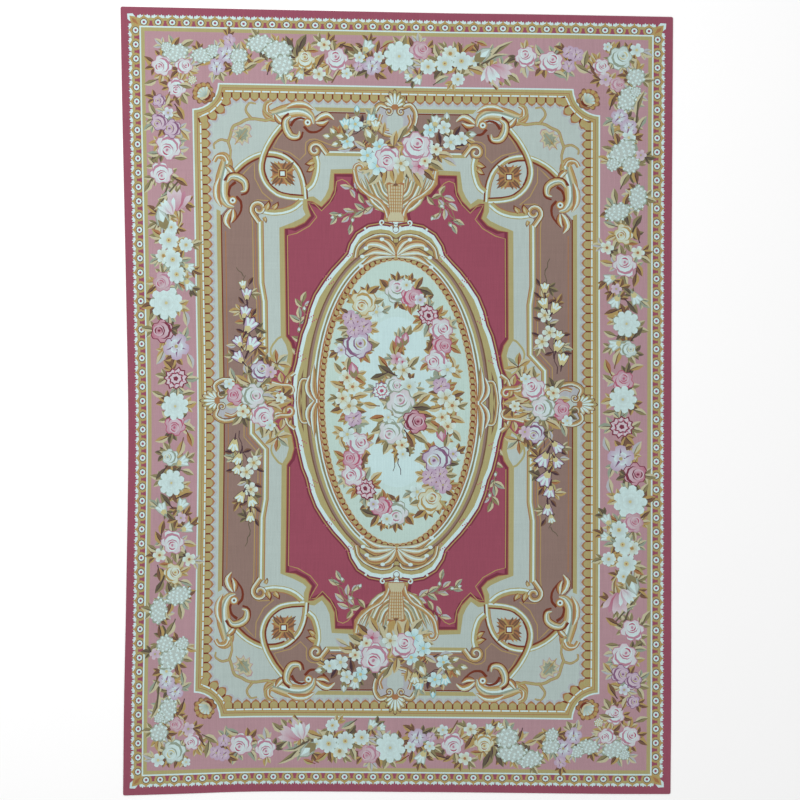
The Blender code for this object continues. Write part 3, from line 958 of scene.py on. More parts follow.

# Flowers of the design, in cm of the cartoon: kind, x, y, size, turn in degrees, wools
GARLAND_TOP = (
    ("leaf", -112.5, 193.5, 7.6, 30, "olive"),
    ("leaf", -118.5, 194, 6.5, 60, "brown"),
    ("leaf", -102.5, 183.5, 7.6, 20, "gold"),
    ("leaf", -133, 184.5, 6.5, 150, "brown"),
    ("leaf", -133, 172.5, 6.5, 200, "olive"),
    ("leaf", -80, 186, 6.5, -30, "brown"),
    ("leaf", -73.5, 185, 6.5, 20, "gold"),
    ("leaf", -68, 187.5, 7.1, -25, "brown"),
    ("leaf", -67.5, 182, 6.5, 70, "brown"),
    ("leaf", -77.5, 182, 6.5, 30, "olive"),
    ("leaf", -56.5, 194, 9.8, 115, "dark"),
    ("leaf", -50, 195, 9.8, 65, "dark"),
    ("leaf", -58.5, 188, 8.7, 170, "dark"),
    ("leaf", -52.5, 190.5, 7.6, 90, "dark"),
    ("leaf", -81.5, 192.5, 6.5, 120, "gold"),
    ("leaf", -44, 191, 5.5, 0, "orange"),
    ("leaf", -40, 186, 7.6, 60, "brown"),
    ("leaf", -29, 194, 6.5, 40, "brown"),
    ("leaf", -24, 193, 7.6, -20, "brown"),
    ("leaf", -20.5, 191.5, 6.5, -50, "olive"),
    ("long_leaf", -29.5, 179.5, 9.8, 50, "gold"),
    ("leaf", -3.5, 195.5, 6.5, 30, "orange"),
    ("leaf", -9, 194, 6.5, 80, "brown"),
    ("leaf", 9, 196, 7.6, 110, "brown"),
    ("leaf", -5.5, 185.5, 7.1, 200, "brown"),
    ("leaf", 40, 194, 7.1, 40, "orange"),
    ("leaf", 47, 196.5, 5.5, -20, "orange"),
    ("leaf", 23, 192.5, 7.1, 110, "olive"),
    ("leaf", 25.5, 176.5, 7.6, 30, "grey"),
    ("leaf", 44.5, 181.5, 8.7, -20, "gold"),
    ("long_leaf", 57.5, 193, 14.2, 40, "olive"),
    ("long_leaf", 55, 188.5, 12, 20, "grey"),
    ("leaf", 64, 178, 7.1, -40, "olive"),
    ("leaf", 77.5, 193.5, 6.5, 120, "grey"),
    ("leaf", 102.5, 189.5, 8.2, 80, "olive"),
    ("leaf", 100.5, 184, 7.6, 150, "olive"),
    ("leaf", 106.5, 183, 7.1, -60, "brown"),
    ("leaf", 116.5, 195.5, 6.5, 70, "gold"),
    ("leaf", 128, 187.5, 7.1, -30, "olive"),
    ("leaf", 88.5, 180, 7.1, -20, "grey"),
    ("lilac_long", -119, 188.5, 4.4, 10, "white"),
    ("lilac_long", -104.5, 187.5, 3.8, 0, "white"),
    ("lilac", -98.5, 190, 3.3, 0, "white"),
    ("iris", -91, 188.5, 4.6, 10, "lilac"),
    ("iris", -96.5, 181.5, 4.1, 50, "lilac"),
    ("iris", -89.5, 196, 3, 80, "plum"),
    ("lilac", -84.5, 187, 4.4, 0, "white"),
    ("lilac_long", -73, 194.5, 4.4, 5, "white"),
    ("lilac_long", -63.5, 191, 4.9, 0, "white"),
    ("lilac", -61, 183, 5.5, 0, "white"),
    ("lilac", -85, 181, 3.3, 0, "white"),
    ("rose", -126.5, 181.5, 4.9, 200, "blush"),
    ("rose", -114.5, 181.5, 4.1, 20, "blush"),
    ("rose", -118.5, 170, 4.6, 250, "blush"),
    ("lilac", -124, 191.5, 2.7, 0, "white"),
    ("lilac", -110, 174, 2.2, 0, "cream"),
    ("rose", -48.5, 186, 4.9, 90, "yellow"),
    ("star", -38, 194.5, 3.3, 30, "yellow"),
    ("star", -41, 178.5, 3.3, 0, "cream"),
    ("bell", -51, 178, 2.5, 250, "white"),
    ("bell", -56.5, 177, 2.2, 230, "cream"),
    ("rose", -31.5, 186.5, 5.7, 100, "blush"),
    ("star", -26, 179, 2.7, 0, "white"),
    ("iris", -19.5, 183, 2.5, 20, "plum"),
    ("bell", -14.5, 194, 3.3, 60, "white"),
    ("star", -19, 188, 2.7, 10, "white"),
    ("iris", -12, 183.5, 4.6, 40, "lilac"),
    ("star", -8.5, 188.5, 2.7, 0, "white"),
    ("dahlia", 2.5, 189, 7.1, 10, "white"),
    ("rose", 14, 192.5, 4.9, 30, "ghost"),
    ("daisy", 30, 191, 3.8, 0, "cream"),
    ("daisy", 18, 183.5, 3.8, 20, "white"),
    ("daisy", 27, 185.5, 4.6, 0, "white"),
    ("daisy", 36, 187, 4.6, 30, "white"),
    ("star", 42.5, 187, 2.7, 0, "white"),
    ("daisy", 34, 177, 3.3, 0, "white"),
    ("bell", 12.5, 176.5, 2.7, 240, "white"),
    ("bud", 47.5, 190.5, 4.6, 40, "white"),
    ("bell", 7.5, 178, 2.2, 200, "white"),
    ("tulip", 56, 181.5, 4.9, -40, "pink"),
    ("tulip", 51, 180.5, 3.8, -80, "blush"),
    ("rose", 70.5, 189.5, 5.2, 100, "blush"),
    ("rose", 84, 187, 5.7, 60, "blush"),
    ("iris", 93.5, 192.5, 3.3, 0, "plum"),
    ("iris", 97.5, 191.5, 3.5, 30, "plum"),
    ("iris", 93.5, 185, 3, 50, "plum"),
    ("rose", 110.5, 185, 4.1, 20, "blush"),
    ("rose", 121, 190, 5.7, 40, "white"),
    ("star", 129.5, 194.5, 3.3, 0, "white"),
    ("star", 114, 196, 2.2, 0, "white"),
)
GARLAND_RIGHT = (
    ("leaf", 127, 173, 7.1, -60, "orange"),
    ("leaf", 117, 166.5, 7.1, 70, "brown"),
    ("long_leaf", 132, 165, 14.2, 75, "olive"),
    ("leaf", 117.5, 173.5, 6.5, 120, "gold"),
    ("leaf", 116.5, 150.5, 6.5, 100, "grey"),
    ("leaf", 133, 155, 7.1, 60, "grey"),
    ("leaf", 114.5, 140.5, 6.5, 170, "olive"),
    ("leaf", 124, 123.5, 8.2, 60, "olive"),
    ("leaf", 129.5, 125.5, 7.6, 100, "brown"),
    ("leaf", 118.5, 114.5, 7.6, 100, "olive"),
    ("leaf", 124.5, 112, 7.1, 75, "brown"),
    ("leaf", 124.5, 102, 7.6, -70, "dark"),
    ("leaf", 130.5, 100.5, 7.6, 60, "dark"),
    ("leaf", 130.5, 94, 7.1, 100, "brown"),
    ("leaf", 127.5, 88.5, 6, 0, "orange"),
    ("leaf", 119.5, 88.5, 7.1, 60, "olive"),
    ("leaf", 115.5, 99, 6.5, 160, "grey"),
    ("leaf", 131, 74, 7.1, -60, "brown"),
    ("leaf", 129, 68.5, 7.1, -100, "brown"),
    ("leaf", 134.5, 79.5, 6.5, -30, "olive"),
    ("leaf", 114, 78, 7.1, 170, "gold"),
    ("leaf", 127.5, 53.5, 8.2, -50, "dark"),
    ("leaf", 116.5, 51, 7.6, 200, "brown"),
    ("leaf", 130.5, 39.5, 7.6, 50, "dark"),
    ("leaf", 115.5, 39, 6.5, 160, "olive"),
    ("leaf", 120, 26, 8.7, 70, "gold"),
    ("leaf", 114.5, 21, 7.6, 110, "orange"),
    ("leaf", 115, 14.5, 7.1, 150, "olive"),
    ("leaf", 130, 20.5, 7.1, 20, "gold"),
    ("leaf", 115, -4, 6.5, 190, "olive"),
    ("leaf", 132, -4, 6.5, -20, "olive"),
    ("leaf", 114, -21.5, 7.6, 110, "pale"),
    ("leaf", 130.5, -23.5, 7.6, 60, "pale"),
    ("leaf", 116, -44.5, 7.6, 100, "pale"),
    ("leaf", 134.5, -46, 6.5, 60, "olive"),
    ("leaf", 116.5, -62, 6.5, 150, "orange"),
    ("leaf", 134.5, -60, 6.5, 40, "brown"),
    ("leaf", 130.5, -91, 7.1, -30, "orange"),
    ("long_leaf", 119, -98, 9.8, 80, "gold"),
    ("long_leaf", 128.5, -110, 14.2, 60, "olive"),
    ("long_leaf", 125, -113.5, 12, 40, "grey"),
    ("leaf", 117, -118.5, 7.1, 150, "brown"),
    ("leaf", 135.5, -116, 7.1, 60, "olive"),
    ("leaf", 117, -131.5, 6.5, 180, "olive"),
    ("leaf", 132, -134, 6.5, 0, "grey"),
    ("leaf", 114.5, -144, 6.5, 130, "gold"),
    ("leaf", 132, -158, 6.5, -60, "olive"),
    ("leaf", 117, -156, 7.6, 120, "brown"),
    ("leaf", 125, -162.5, 7.6, 60, "gold"),
    ("leaf", 113.5, -170.5, 6.5, 170, "olive"),
    ("star", 113, 178, 3.3, 0, "plum"),
    ("rose", 119.5, 175.5, 3.5, 0, "ghost"),
    ("lilac", 129, 179.5, 4.6, 0, "white"),
    ("lilac_long", 124.5, 167.5, 4.4, 70, "white"),
    ("lilac", 129, 171.5, 2.7, 0, "white"),
    ("iris", 120.5, 157.5, 4.1, 10, "lilac"),
    ("iris", 125.5, 152, 4.1, 40, "lilac"),
    ("star", 125.5, 146.5, 3.3, 0, "white"),
    ("lilac_long", 122, 138, 5.5, 40, "white"),
    ("lilac", 126.5, 131.5, 4.4, 0, "white"),
    ("lilac", 117, 131.5, 3.3, 0, "white"),
    ("star", 132, 137, 2.7, 0, "plum"),
    ("lilac_long", 130.5, 113.5, 4.4, 80, "white"),
    ("lilac_long", 119.5, 105.5, 4.4, 20, "white"),
    ("rose", 123, 93.5, 4.9, 200, "yellow"),
    ("star", 114, 86, 3.3, 0, "yellow"),
    ("star", 130.5, 83.5, 3.3, 0, "yellow"),
    ("rose", 123.5, 76.5, 5.7, 90, "blush"),
    ("bell", 115.5, 69, 3, 200, "white"),
    ("star", 119, 63.5, 2.7, 0, "plum"),
    ("bell", 118.5, 56.5, 3.3, 240, "white"),
    ("bell", 129.5, 58.5, 3.3, 300, "white"),
    ("dahlia", 124.5, 44.5, 6.3, 0, "white"),
    ("bell", 118.5, 33, 3.3, 200, "white"),
    ("rose", 125.5, 30.5, 4.1, 0, "white"),
    ("rose", 122.5, 13, 5.2, 70, "pink"),
    ("dahlia", 122.5, 3, 6.5, 0, "white"),
    ("carnation", 122, -12, 6.3, 0, "crimson"),
    ("iris", 121.5, -29.5, 6.5, 20, "lilac"),
    ("rose", 129, -38, 5.7, 0, "crimson"),
    ("dahlia", 126.5, -53, 7.9, 0, "white"),
    ("rose", 128, -64.5, 4.9, 30, "ghost"),
    ("daisy", 127.5, -78.5, 3.8, 0, "cream"),
    ("daisy", 120.5, -68.5, 4.4, 0, "white"),
    ("daisy", 122.5, -76.5, 4.6, 0, "white"),
    ("daisy", 115, -84.5, 3.5, 0, "white"),
    ("daisy", 124.5, -87, 4.9, 10, "white"),
    ("daisy", 123, -94, 3.3, 0, "white"),
    ("bell", 114, -63, 3, 120, "white"),
    ("bell", 113.5, -72.5, 2.7, 160, "white"),
    ("bud", 128, -98.5, 4.9, -70, "white"),
    ("tulip", 119, -108, 4.9, -100, "pink"),
    ("tulip", 124, -104.5, 3.8, -60, "blush"),
    ("rose", 128, -123.5, 5.5, 100, "blush"),
    ("rose", 123.5, -137.5, 6.3, 60, "blush"),
    ("rose", 121.5, -147.5, 4.6, 0, "plum"),
    ("rose", 128.5, -151, 4.4, 40, "plum"),
    ("rose", 128, -162.5, 3.3, 0, "plum"),
    ("star", 123.5, -156, 2.7, 0, "lilac"),
)
WREATH = (
    ("leaf", 16, 60.5, 7.1, -20, "dark"),
    ("leaf", 12.5, 65, 6.5, 60, "brown"),
    ("leaf", 7.5, 65.5, 6.5, 100, "orange"),
    ("leaf", -6.5, 64, 6.5, 130, "brown"),
    ("leaf", 23.5, 50, 6, 60, "orange"),
    ("leaf", 27.5, 44, 6, -40, "gold"),
    ("leaf", 16.5, 40, 7.6, -110, "grey"),
    ("leaf", 11.5, 41, 6.5, -140, "gold"),
    ("leaf", 18.5, 31.5, 7.1, -110, "brown"),
    ("leaf", 31.5, 29, 6.5, -30, "orange"),
    ("leaf", 30, 22, 6, -70, "gold"),
    ("leaf", 16.5, 24, 6.5, 200, "pale"),
    ("leaf", 21.5, 13, 7.6, -160, "grey"),
    ("leaf", 31.5, 15.5, 6.5, -30, "gold"),
    ("leaf", 21, 5.5, 6.5, 180, "brown"),
    ("leaf", 33, 4.5, 6.5, 20, "brown"),
    ("leaf", 21, -12, 7.1, 150, "orange"),
    ("leaf", 33, -9.5, 6.5, -20, "gold"),
    ("leaf", 20, -3, 6.5, 190, "gold"),
    ("leaf", 32, -18, 6.5, -50, "olive"),
    ("leaf", 26.5, -21, 6.5, -100, "olive"),
    ("leaf", 15, -32.5, 6.5, 170, "olive"),
    ("leaf", 30, -33.5, 6, 0, "dark"),
    ("leaf", 16.5, -45, 6.5, 200, "gold"),
    ("leaf", 28, -49, 6, -30, "brown"),
    ("leaf", 11, -54.5, 7.1, 200, "olive"),
    ("leaf", 24, -56, 6.5, -40, "orange"),
    ("leaf", 12.5, -60.5, 7.1, 220, "brown"),
    ("rose", 0.5, 60.5, 5.7, 90, "snow"),
    ("rose", 8, 57.5, 4.6, 0, "pink"),
    ("star", 13, 56, 2.7, 0, "lilac"),
    ("daisy", 5.5, 64, 2.7, 0, "white"),
    ("carnation", 17.5, 47.5, 5.2, -60, "crimson"),
    ("rose", 24, 39.5, 5.2, 30, "blush"),
    ("rose", 24.5, 31, 4.4, 0, "pink"),
    ("rose", 21.5, 23, 5.2, 200, "blush"),
    ("star", 27.5, 18, 3.5, 0, "white"),
    ("iris", 24, 9, 3.8, 0, "plum"),
    ("star", 26.5, 2.5, 4.1, 0, "cream"),
    ("star", 30, -1.5, 3.5, 30, "yellow"),
    ("star", 24.5, -8, 3.3, 0, "yellow"),
    ("star", 27.5, -13, 3.5, 10, "yellow"),
    ("bud", 24, -17, 3.3, -80, "pink"),
    ("star", 30.5, -28, 3, 0, "lilac"),
    ("rose", 22, -31, 6.2, 200, "lilac"),
    ("iris", 18, -41, 3.8, 0, "plum"),
    ("iris", 23.5, -39, 3.3, 30, "plum"),
    ("iris", 25, -45, 3.8, 50, "plum"),
    ("star", 11, -49, 3.5, 0, "white"),
    ("rose", 18, -54, 5.5, 60, "yellow"),
)
BOUQUET = (
    ("leaf", -1.5, 29.5, 7.1, 100, "orange"),
    ("leaf", 1.5, 28.5, 6.5, 60, "orange"),
    ("leaf", -7.5, 22, 6.5, 130, "orange"),
    ("leaf", -6, 17.5, 8.2, 150, "dark"),
    ("leaf", -10.5, 14, 7.1, 200, "dark"),
    ("leaf", 9.5, 22, 6.5, 50, "olive"),
    ("leaf", -11, -8.5, 7.1, 190, "orange"),
    ("leaf", -10, -14.5, 8.2, 210, "olive"),
    ("leaf", -15, -1.5, 6.5, 170, "gold"),
    ("leaf", 12, 3.5, 7.1, 20, "olive"),
    ("leaf", 13.5, -3, 8.2, 0, "dark"),
    ("leaf", 15, 2, 7.1, 40, "gold"),
    ("leaf", -9, -19.5, 7.6, 230, "brown"),
    ("leaf", -6, -24, 8.2, 250, "olive"),
    ("leaf", 7, -20.5, 7.6, -60, "brown"),
    ("leaf", 12.5, -20, 7.6, -30, "olive"),
    ("leaf", 18, -15, 6.5, -10, "gold"),
    ("leaf", 15.5, -7, 6.5, -10, "brown"),
    ("leaf", -0.5, -29, 7.1, -100, "gold"),
    ("leaf", 5.5, -26, 6.5, -70, "dark"),
    ("stem", -1.5, -33, 7.6, -100, "olive"),
    ("stem", 1, -35, 7.6, -80, "brown"),
    ("bud", 4.5, 34.5, 2.7, 80, "pink"),
    ("bud", 1, 33, 2.5, 110, "pink"),
    ("star", 0, 23.5, 3, 0, "pink"),
    ("star", 3, 22, 2.2, 0, "magenta"),
    ("star", 3.5, 17.5, 3.5, 0, "cream"),
    ("carnation", -8.5, 6, 4.4, 0, "magenta"),
    ("rose", -1.5, 9, 4.1, 0, "snow"),
    ("daisy", 6.5, 8.5, 4.1, 60, "white"),
    ("rose", -3.5, -16, 5.5, 240, "snow"),
    ("rose", 2, -1, 6.2, 100, "snow"),
    ("rose", 9.5, -10.5, 5.2, 0, "crimson"),
    ("star", 2.5, -23.5, 3, 0, "yellow"),
    ("star", 3, -28.5, 2.7, 0, "white"),
    ("star", -5, -8.5, 2.5, 0, "white"),
)
TOP_SPRAY = (
    ("stem", -19, 148, 14.2, 20, "ink"),
    ("stem", -27, 146, 12, 10, "ink"),
    ("stem", -16.5, 142.5, 13.1, 40, "ink"),
    ("stem", -23.5, 139, 12, -10, "ink"),
    ("stem", -12.5, 146, 10.9, 60, "ink"),
    ("stem", 24, 147.5, 13.1, 130, "ink"),
    ("stem", 32.5, 145.5, 14.2, 160, "ink"),
    ("stem", 27, 140.5, 13.1, 170, "ink"),
    ("leaf", -24.5, 146.5, 5.5, 50, "pale"),
    ("leaf", -19, 140.5, 6, 150, "pale"),
    ("leaf", -27.5, 138, 6, 190, "pale"),
    ("leaf", -18, 153.5, 5.5, 80, "ink"),
    ("leaf", -23.5, 153, 4.9, 120, "ink"),
    ("leaf", -11, 143, 5.5, 60, "pale"),
    ("leaf", -6, 149.5, 5.5, 80, "gold"),
    ("leaf", 0, 144, 7.1, 80, "gold"),
    ("leaf", 4.5, 147.5, 7.1, 60, "olive"),
    ("leaf", -11.5, 122, 7.6, 230, "olive"),
    ("leaf", -5.5, 123, 7.6, 260, "gold"),
    ("leaf", -1.5, 124.5, 7.6, -80, "gold"),
    ("leaf", 3.5, 127.5, 8.7, -80, "gold"),
    ("leaf", 8, 125.5, 8.7, -70, "pale"),
    ("leaf", 12, 121.5, 8.2, -60, "gold"),
    ("leaf", 17.5, 124.5, 7.6, -40, "brown"),
    ("leaf", 22, 129.5, 7.6, -30, "olive"),
    ("leaf", -15, 127.5, 6.5, 200, "gold"),
    ("leaf", -17, 131.5, 6, 170, "olive"),
    ("leaf", 3.5, 135, 7.6, 90, "gold"),
    ("leaf", 27, 135, 7.1, -10, "gold"),
    ("leaf", 29.5, 131.5, 6.5, -30, "pale"),
    ("leaf", 24, 144.5, 5.5, 100, "ink"),
    ("leaf", 33.5, 148.5, 5.5, 60, "ink"),
    ("leaf", 36.5, 141.5, 5.5, 20, "ink"),
    ("leaf", 40.5, 147, 4.9, -10, "ink"),
    ("star", -21.5, 151.5, 3.3, 0, "aqua"),
    ("star", -26, 142, 3.3, 30, "aqua"),
    ("star", -8.5, 139.5, 3.5, 0, "aqua"),
    ("star", -9.5, 129, 4.2, 40, "aqua"),
    ("star", -15, 134.5, 3.6, 0, "aqua"),
    ("bell", -27, 151.5, 2.5, 100, "aqua"),
    ("bell", -13, 154, 2.7, 60, "aqua"),
    ("bell", -10.5, 151, 2.5, 90, "cream"),
    ("bud", -36.5, 144.5, 2.2, 170, "cream"),
    ("bud", -33.5, 147, 2.2, 130, "cream"),
    ("bud", -32, 140.5, 2.2, 200, "cream"),
    ("bud", -29, 144.5, 2.5, 170, "cream"),
    ("bud", -14, 145.5, 3.5, 120, "cream"),
    ("bud", -20.5, 159, 2.2, 90, "aqua"),
    ("star", 19, 149, 3.3, 0, "aqua"),
    ("star", 26.5, 150.5, 3, 30, "white"),
    ("star", 30, 142.5, 3.5, 0, "white"),
    ("star", 36, 144.5, 3, 20, "white"),
    ("bud", 41, 147, 2.2, 0, "white"),
    ("bell", 22, 154, 2.5, 80, "white"),
    ("bud", 28, 156, 2.2, 90, "white"),
    ("star", 16, 142, 3.5, 0, "lilac"),
    ("star", 17, 136.5, 3.5, 20, "lilac"),
    ("star", 13, 129, 3.8, 0, "pink"),
    ("star", 22, 138.5, 2.7, 0, "yellow"),
    ("star", 16, 132, 2.7, 0, "yellow"),
    ("rose", -4, 133.5, 5.2, 250, "blush"),
    ("rose", 11, 139.5, 6.5, 60, "blush"),
    ("star", 3, 130.5, 3.5, 0, "cream"),
)
SIDE_SPRAY = (
    ("stem", -79.5, 19, 8.7, 95, "ink"),
    ("stem", -82, 27.5, 8.7, 80, "ink"),
    ("stem", -80.5, 35.5, 8.7, 100, "ink"),
    ("stem", -82, 45, 8.7, 85, "ink"),
    ("stem", -82, 54.5, 7.6, 95, "ink"),
    ("stem", -84, 64, 7.6, 70, "olive"),
    ("stem", -85.5, 70, 5.5, 130, "olive"),
    ("stem", -86.5, -21.5, 8.7, -80, "ink"),
    ("stem", -84, -29.5, 8.7, -70, "ink"),
    ("stem", -83, -39.5, 8.7, -100, "ink"),
    ("stem", -81, -49, 8.7, -80, "ink"),
    ("stem", -81, -58.5, 7.6, -95, "ink"),
    ("stem", -81, -69, 8.7, -90, "olive"),
    ("stem", -82, -76, 6.5, -110, "olive"),
    ("leaf", -85, 11.5, 8.2, 150, "gold"),
    ("leaf", -90.5, 14.5, 6.5, 110, "grey"),
    ("leaf", -71.5, 11, 7.6, 40, "olive"),
    ("leaf", -67.5, 7, 7.1, 20, "gold"),
    ("leaf", -87.5, 8, 7.6, 170, "olive"),
    ("leaf", -90.5, -2, 7.1, 190, "gold"),
    ("leaf", -81, -5.5, 7.6, 240, "gold"),
    ("leaf", -71, 1.5, 7.6, -10, "pale"),
    ("leaf", -67.5, -4, 7.6, -20, "gold"),
    ("leaf", -74.5, -16.5, 7.1, -80, "olive"),
    ("leaf", -88.5, -10.5, 7.1, 230, "olive"),
    ("leaf", -79.5, 65, 4.4, 60, "ink"),
    ("leaf", -85, 54.5, 4.4, 130, "ink"),
    ("leaf", -78, 48, 4.4, 60, "ink"),
    ("leaf", -86, 38, 4.4, 160, "ink"),
    ("leaf", -76.5, 33, 4.9, 30, "ink"),
    ("leaf", -90, 26.5, 4.4, 150, "ink"),
    ("leaf", -75, 21, 4.9, 60, "ink"),
    ("leaf", -83, 17.5, 5.5, 100, "pale"),
    ("leaf", -91, 30, 4.9, 180, "pale"),
    ("leaf", -93, -28, 4.4, 170, "ink"),
    ("leaf", -82.5, -27.5, 4.4, 20, "ink"),
    ("leaf", -92, -38, 4.4, 190, "ink"),
    ("leaf", -75.5, -38, 4.4, -20, "ink"),
    ("leaf", -76.5, -31.5, 4.9, 30, "pale"),
    ("leaf", -85.5, -45, 4.9, 200, "pale"),
    ("leaf", -76.5, -46.5, 4.4, -20, "ink"),
    ("leaf", -84.5, -56, 4.4, 210, "ink"),
    ("leaf", -76.5, -59.5, 4.4, -40, "ink"),
    ("leaf", -77, -66.5, 4.4, -60, "ink"),
    ("bell", -82, 58, 3, 90, "dusk"),
    ("bell", -83, 48, 3.3, 80, "dusk"),
    ("bell", -80.5, 41, 4.1, 60, "dusk"),
    ("bell", -87, 32, 3, 120, "dusk"),
    ("bell", -79.5, 30.5, 4.1, 60, "dusk"),
    ("bell", -87, 23.5, 3.3, 130, "dusk"),
    ("bell", -84, 63, 2.2, 100, "cream"),
    ("bell", -90, -24.5, 3.3, -100, "straw"),
    ("bell", -87.5, -32, 3.3, -110, "straw"),
    ("bell", -88, -37.5, 2.7, -120, "straw"),
    ("star", -79, -34, 3.5, 0, "straw"),
    ("star", -83, -39, 3.5, 0, "straw"),
    ("star", -80.5, -48.5, 3.5, 0, "straw"),
    ("bell", -86, -52.5, 3, -120, "straw"),
    ("bell", -80, -55, 3, -70, "straw"),
    ("bell", -80.5, -63.5, 2.7, -90, "straw"),
    ("rose", -88.5, 3, 4.9, 180, "pink"),
    ("rose", -74, -8, 5.7, -60, "blush"),
    ("rose", -75, 16, 4.9, 60, "lilac"),
    ("star", -69.5, 15.5, 3, 0, "plum"),
    ("rose", -79.5, 2.5, 6, 0, "snow"),
    ("star", -85, -6, 3.3, 0, "yellow"),
    ("star", -70, -13.5, 2.7, 0, "white"),
    ("star", -64, 1.5, 2.7, 0, "cream"),
    ("star", -92.5, 9, 2.7, 0, "white"),
)
FIELD_SPRIGS = (
    ("leaf", -8, 106.5, 6.5, 200, "olive"),
    ("leaf", -13, 108.5, 6.5, 160, "pale"),
    ("leaf", -15, 104.5, 6, 220, "pale"),
    ("leaf", -19.5, 106.5, 6, 150, "grey"),
    ("leaf", -20.5, 102.5, 6, 210, "grey"),
    ("leaf", -25.5, 104.5, 5.5, 170, "pale"),
    ("leaf", -27.5, 99.5, 4.9, 220, "pale"),
    ("leaf", -33.5, 102.5, 4.9, 180, "grey"),
    ("leaf", -34, 98.5, 4.9, 230, "grey"),
    ("leaf", -25, 94, 5.5, -100, "grey"),
    ("leaf", -18.5, 111, 5.5, 120, "olive"),
    ("stem", -16, 105.5, 14.2, 185, "pale"),
    ("stem", -27.5, 102, 12, 195, "pale"),
    ("stem", -24, 98, 9.8, 250, "pale"),
    ("leaf", -27, 117.5, 5.5, 170, "pale"),
    ("leaf", -23.5, 113.5, 4.9, -60, "pale"),
    ("leaf", -21, 118.5, 4.9, 90, "pale"),
    ("bud", -30, 101.5, 1.4, 180, "white"),
    ("bud", -34, 100.5, 1.4, 200, "white"),
    ("bud", -23.5, 99.5, 1.4, -90, "white"),
    ("leaf", 25.5, 116, 5.5, 60, "olive"),
    ("leaf", 22.5, 112.5, 5.5, 20, "olive"),
    ("leaf", 29, 111.5, 6, -20, "pale"),
    ("leaf", 24.5, 108.5, 5.5, -60, "pale"),
    ("leaf", 31, 107, 6, -40, "pale"),
    ("leaf", 26.5, 103, 5.5, -90, "pale"),
    ("leaf", 22, 102, 5.5, 220, "pale"),
    ("leaf", 34, 98.5, 6, -20, "grey"),
    ("leaf", 31.5, 95, 5.5, -60, "grey"),
    ("leaf", 19, 110.5, 5.5, 130, "olive"),
    ("stem", 28, 108, 14.2, -60, "pale"),
    ("stem", 31.5, 101, 10.9, -50, "pale"),
    ("stem", 24, 104.5, 8.7, 240, "pale"),
    ("bud", 24.5, 107.5, 1.4, 0, "white"),
    ("bud", 20, 101, 1.4, -120, "white"),
    ("bud", 29.5, 97.5, 1.4, -60, "white"),
    ("leaf", -50.5, 56.5, 6, 70, "olive"),
    ("leaf", -53.5, 53.5, 5.5, 130, "olive"),
    ("leaf", -48, 53, 4.9, 30, "pale"),
    ("leaf", -55.5, 45, 6.5, 150, "grey"),
    ("leaf", -50.5, 44, 6.5, 40, "grey"),
    ("leaf", -53, 48, 6, 95, "grey"),
    ("leaf", -54.5, 34, 6, 160, "olive"),
    ("leaf", -51.5, 37, 5.5, 60, "pale"),
    ("leaf", -49, 30, 5.5, 60, "pale"),
    ("leaf", -55, 26.5, 6, 140, "olive"),
    ("leaf", -51.5, 21, 5.5, 60, "olive"),
    ("leaf", -48, 25.5, 5.5, 30, "pale"),
    ("stem", -51, 49.5, 9.8, 100, "pale"),
    ("stem", -53, 39.5, 9.8, 80, "pale"),
    ("stem", -52, 29.5, 9.8, 95, "pale"),
    ("stem", -53, 22, 7.6, 85, "pale"),
    ("bud", -50.5, 50, 1.4, 90, "white"),
    ("bud", -52, 29.5, 1.4, 90, "white"),
    ("bud", -54, 23.5, 1.4, 90, "white"),
    ("bud", -53.5, 38.5, 1.4, 90, "white"),
)

BASKET = ((-4.2, 119), (4.2, 119), (3.7, 110), (3.0, 103.4), (4.4, 100.6), (4.4, 98.9), (-4.4, 98.9), (-4.4, 100.6),
          (-3.0, 103.4), (-3.7, 110))


def centre_ornament(art, spot):
    """A palmette over a pair of facing scrolls with a pale heart between, at the middle of a side."""
    art.shape(spot([(-8.6, 146.5), (0, 142.5), (8.6, 146.5), (9.6, 158), (6, 163), (-6, 163), (-9.6, 158)]), "mist")
    art.shape(spot([(-4, 148), (0, 144.5), (4, 148), (4.6, 155), (0, 159.5), (-4.6, 155)]), "ground")
    for side in (-1, 1):
        path = curve(((-3.2, 160.6), (-8.2, 162.4), (-11.2, 158), (-10.4, 151.6), (-6.4, 146.6), (-1.6, 145.2)), 4)
        scroll(art, spot([(x * side, y) for x, y in path]), 2.4, 1.6)
        curl = spiral(-3.4, 158.6, 2.4, 0.7, 120, -220, 10)
        scroll(art, spot([(x * side, y) for x, y in curl]), 1.2, 0.9)
        inner = curve(((-7.4, 157), (-8.4, 153), (-6, 149.4), (-3.2, 148.6)), 4)
        scroll(art, spot([(x * side, y) for x, y in inner]), 1.3, 0.7, "orange")
    for k, (lean, reach) in enumerate(((-70, 6.4), (70, 6.4), (-44, 7.8), (44, 7.8), (-20, 8.8), (20, 8.8), (0, 9.8))):
        for share, wool in ((1.0, "brown"), (0.84, "sand" if k % 2 else "gold"), (0.5, "white")):
            frond = [(0.6, -0.6), (reach * 0.6, -1.35), (reach * 0.92, -0.8), (reach, 0), (reach * 0.92, 0.8)]
            frond += [(reach * 0.6, 1.35), (0.6, 0.6)]
            frond = [(px * (0.5 + share / 2), py * share) for px, py in frond]
            art.shape(spot(placed(frond, 0, 161.5, 90 + lean)), wool)
    art.shape(spot(ring_points(0, 161.2, 2.0, 1.6, 10)), "orange")


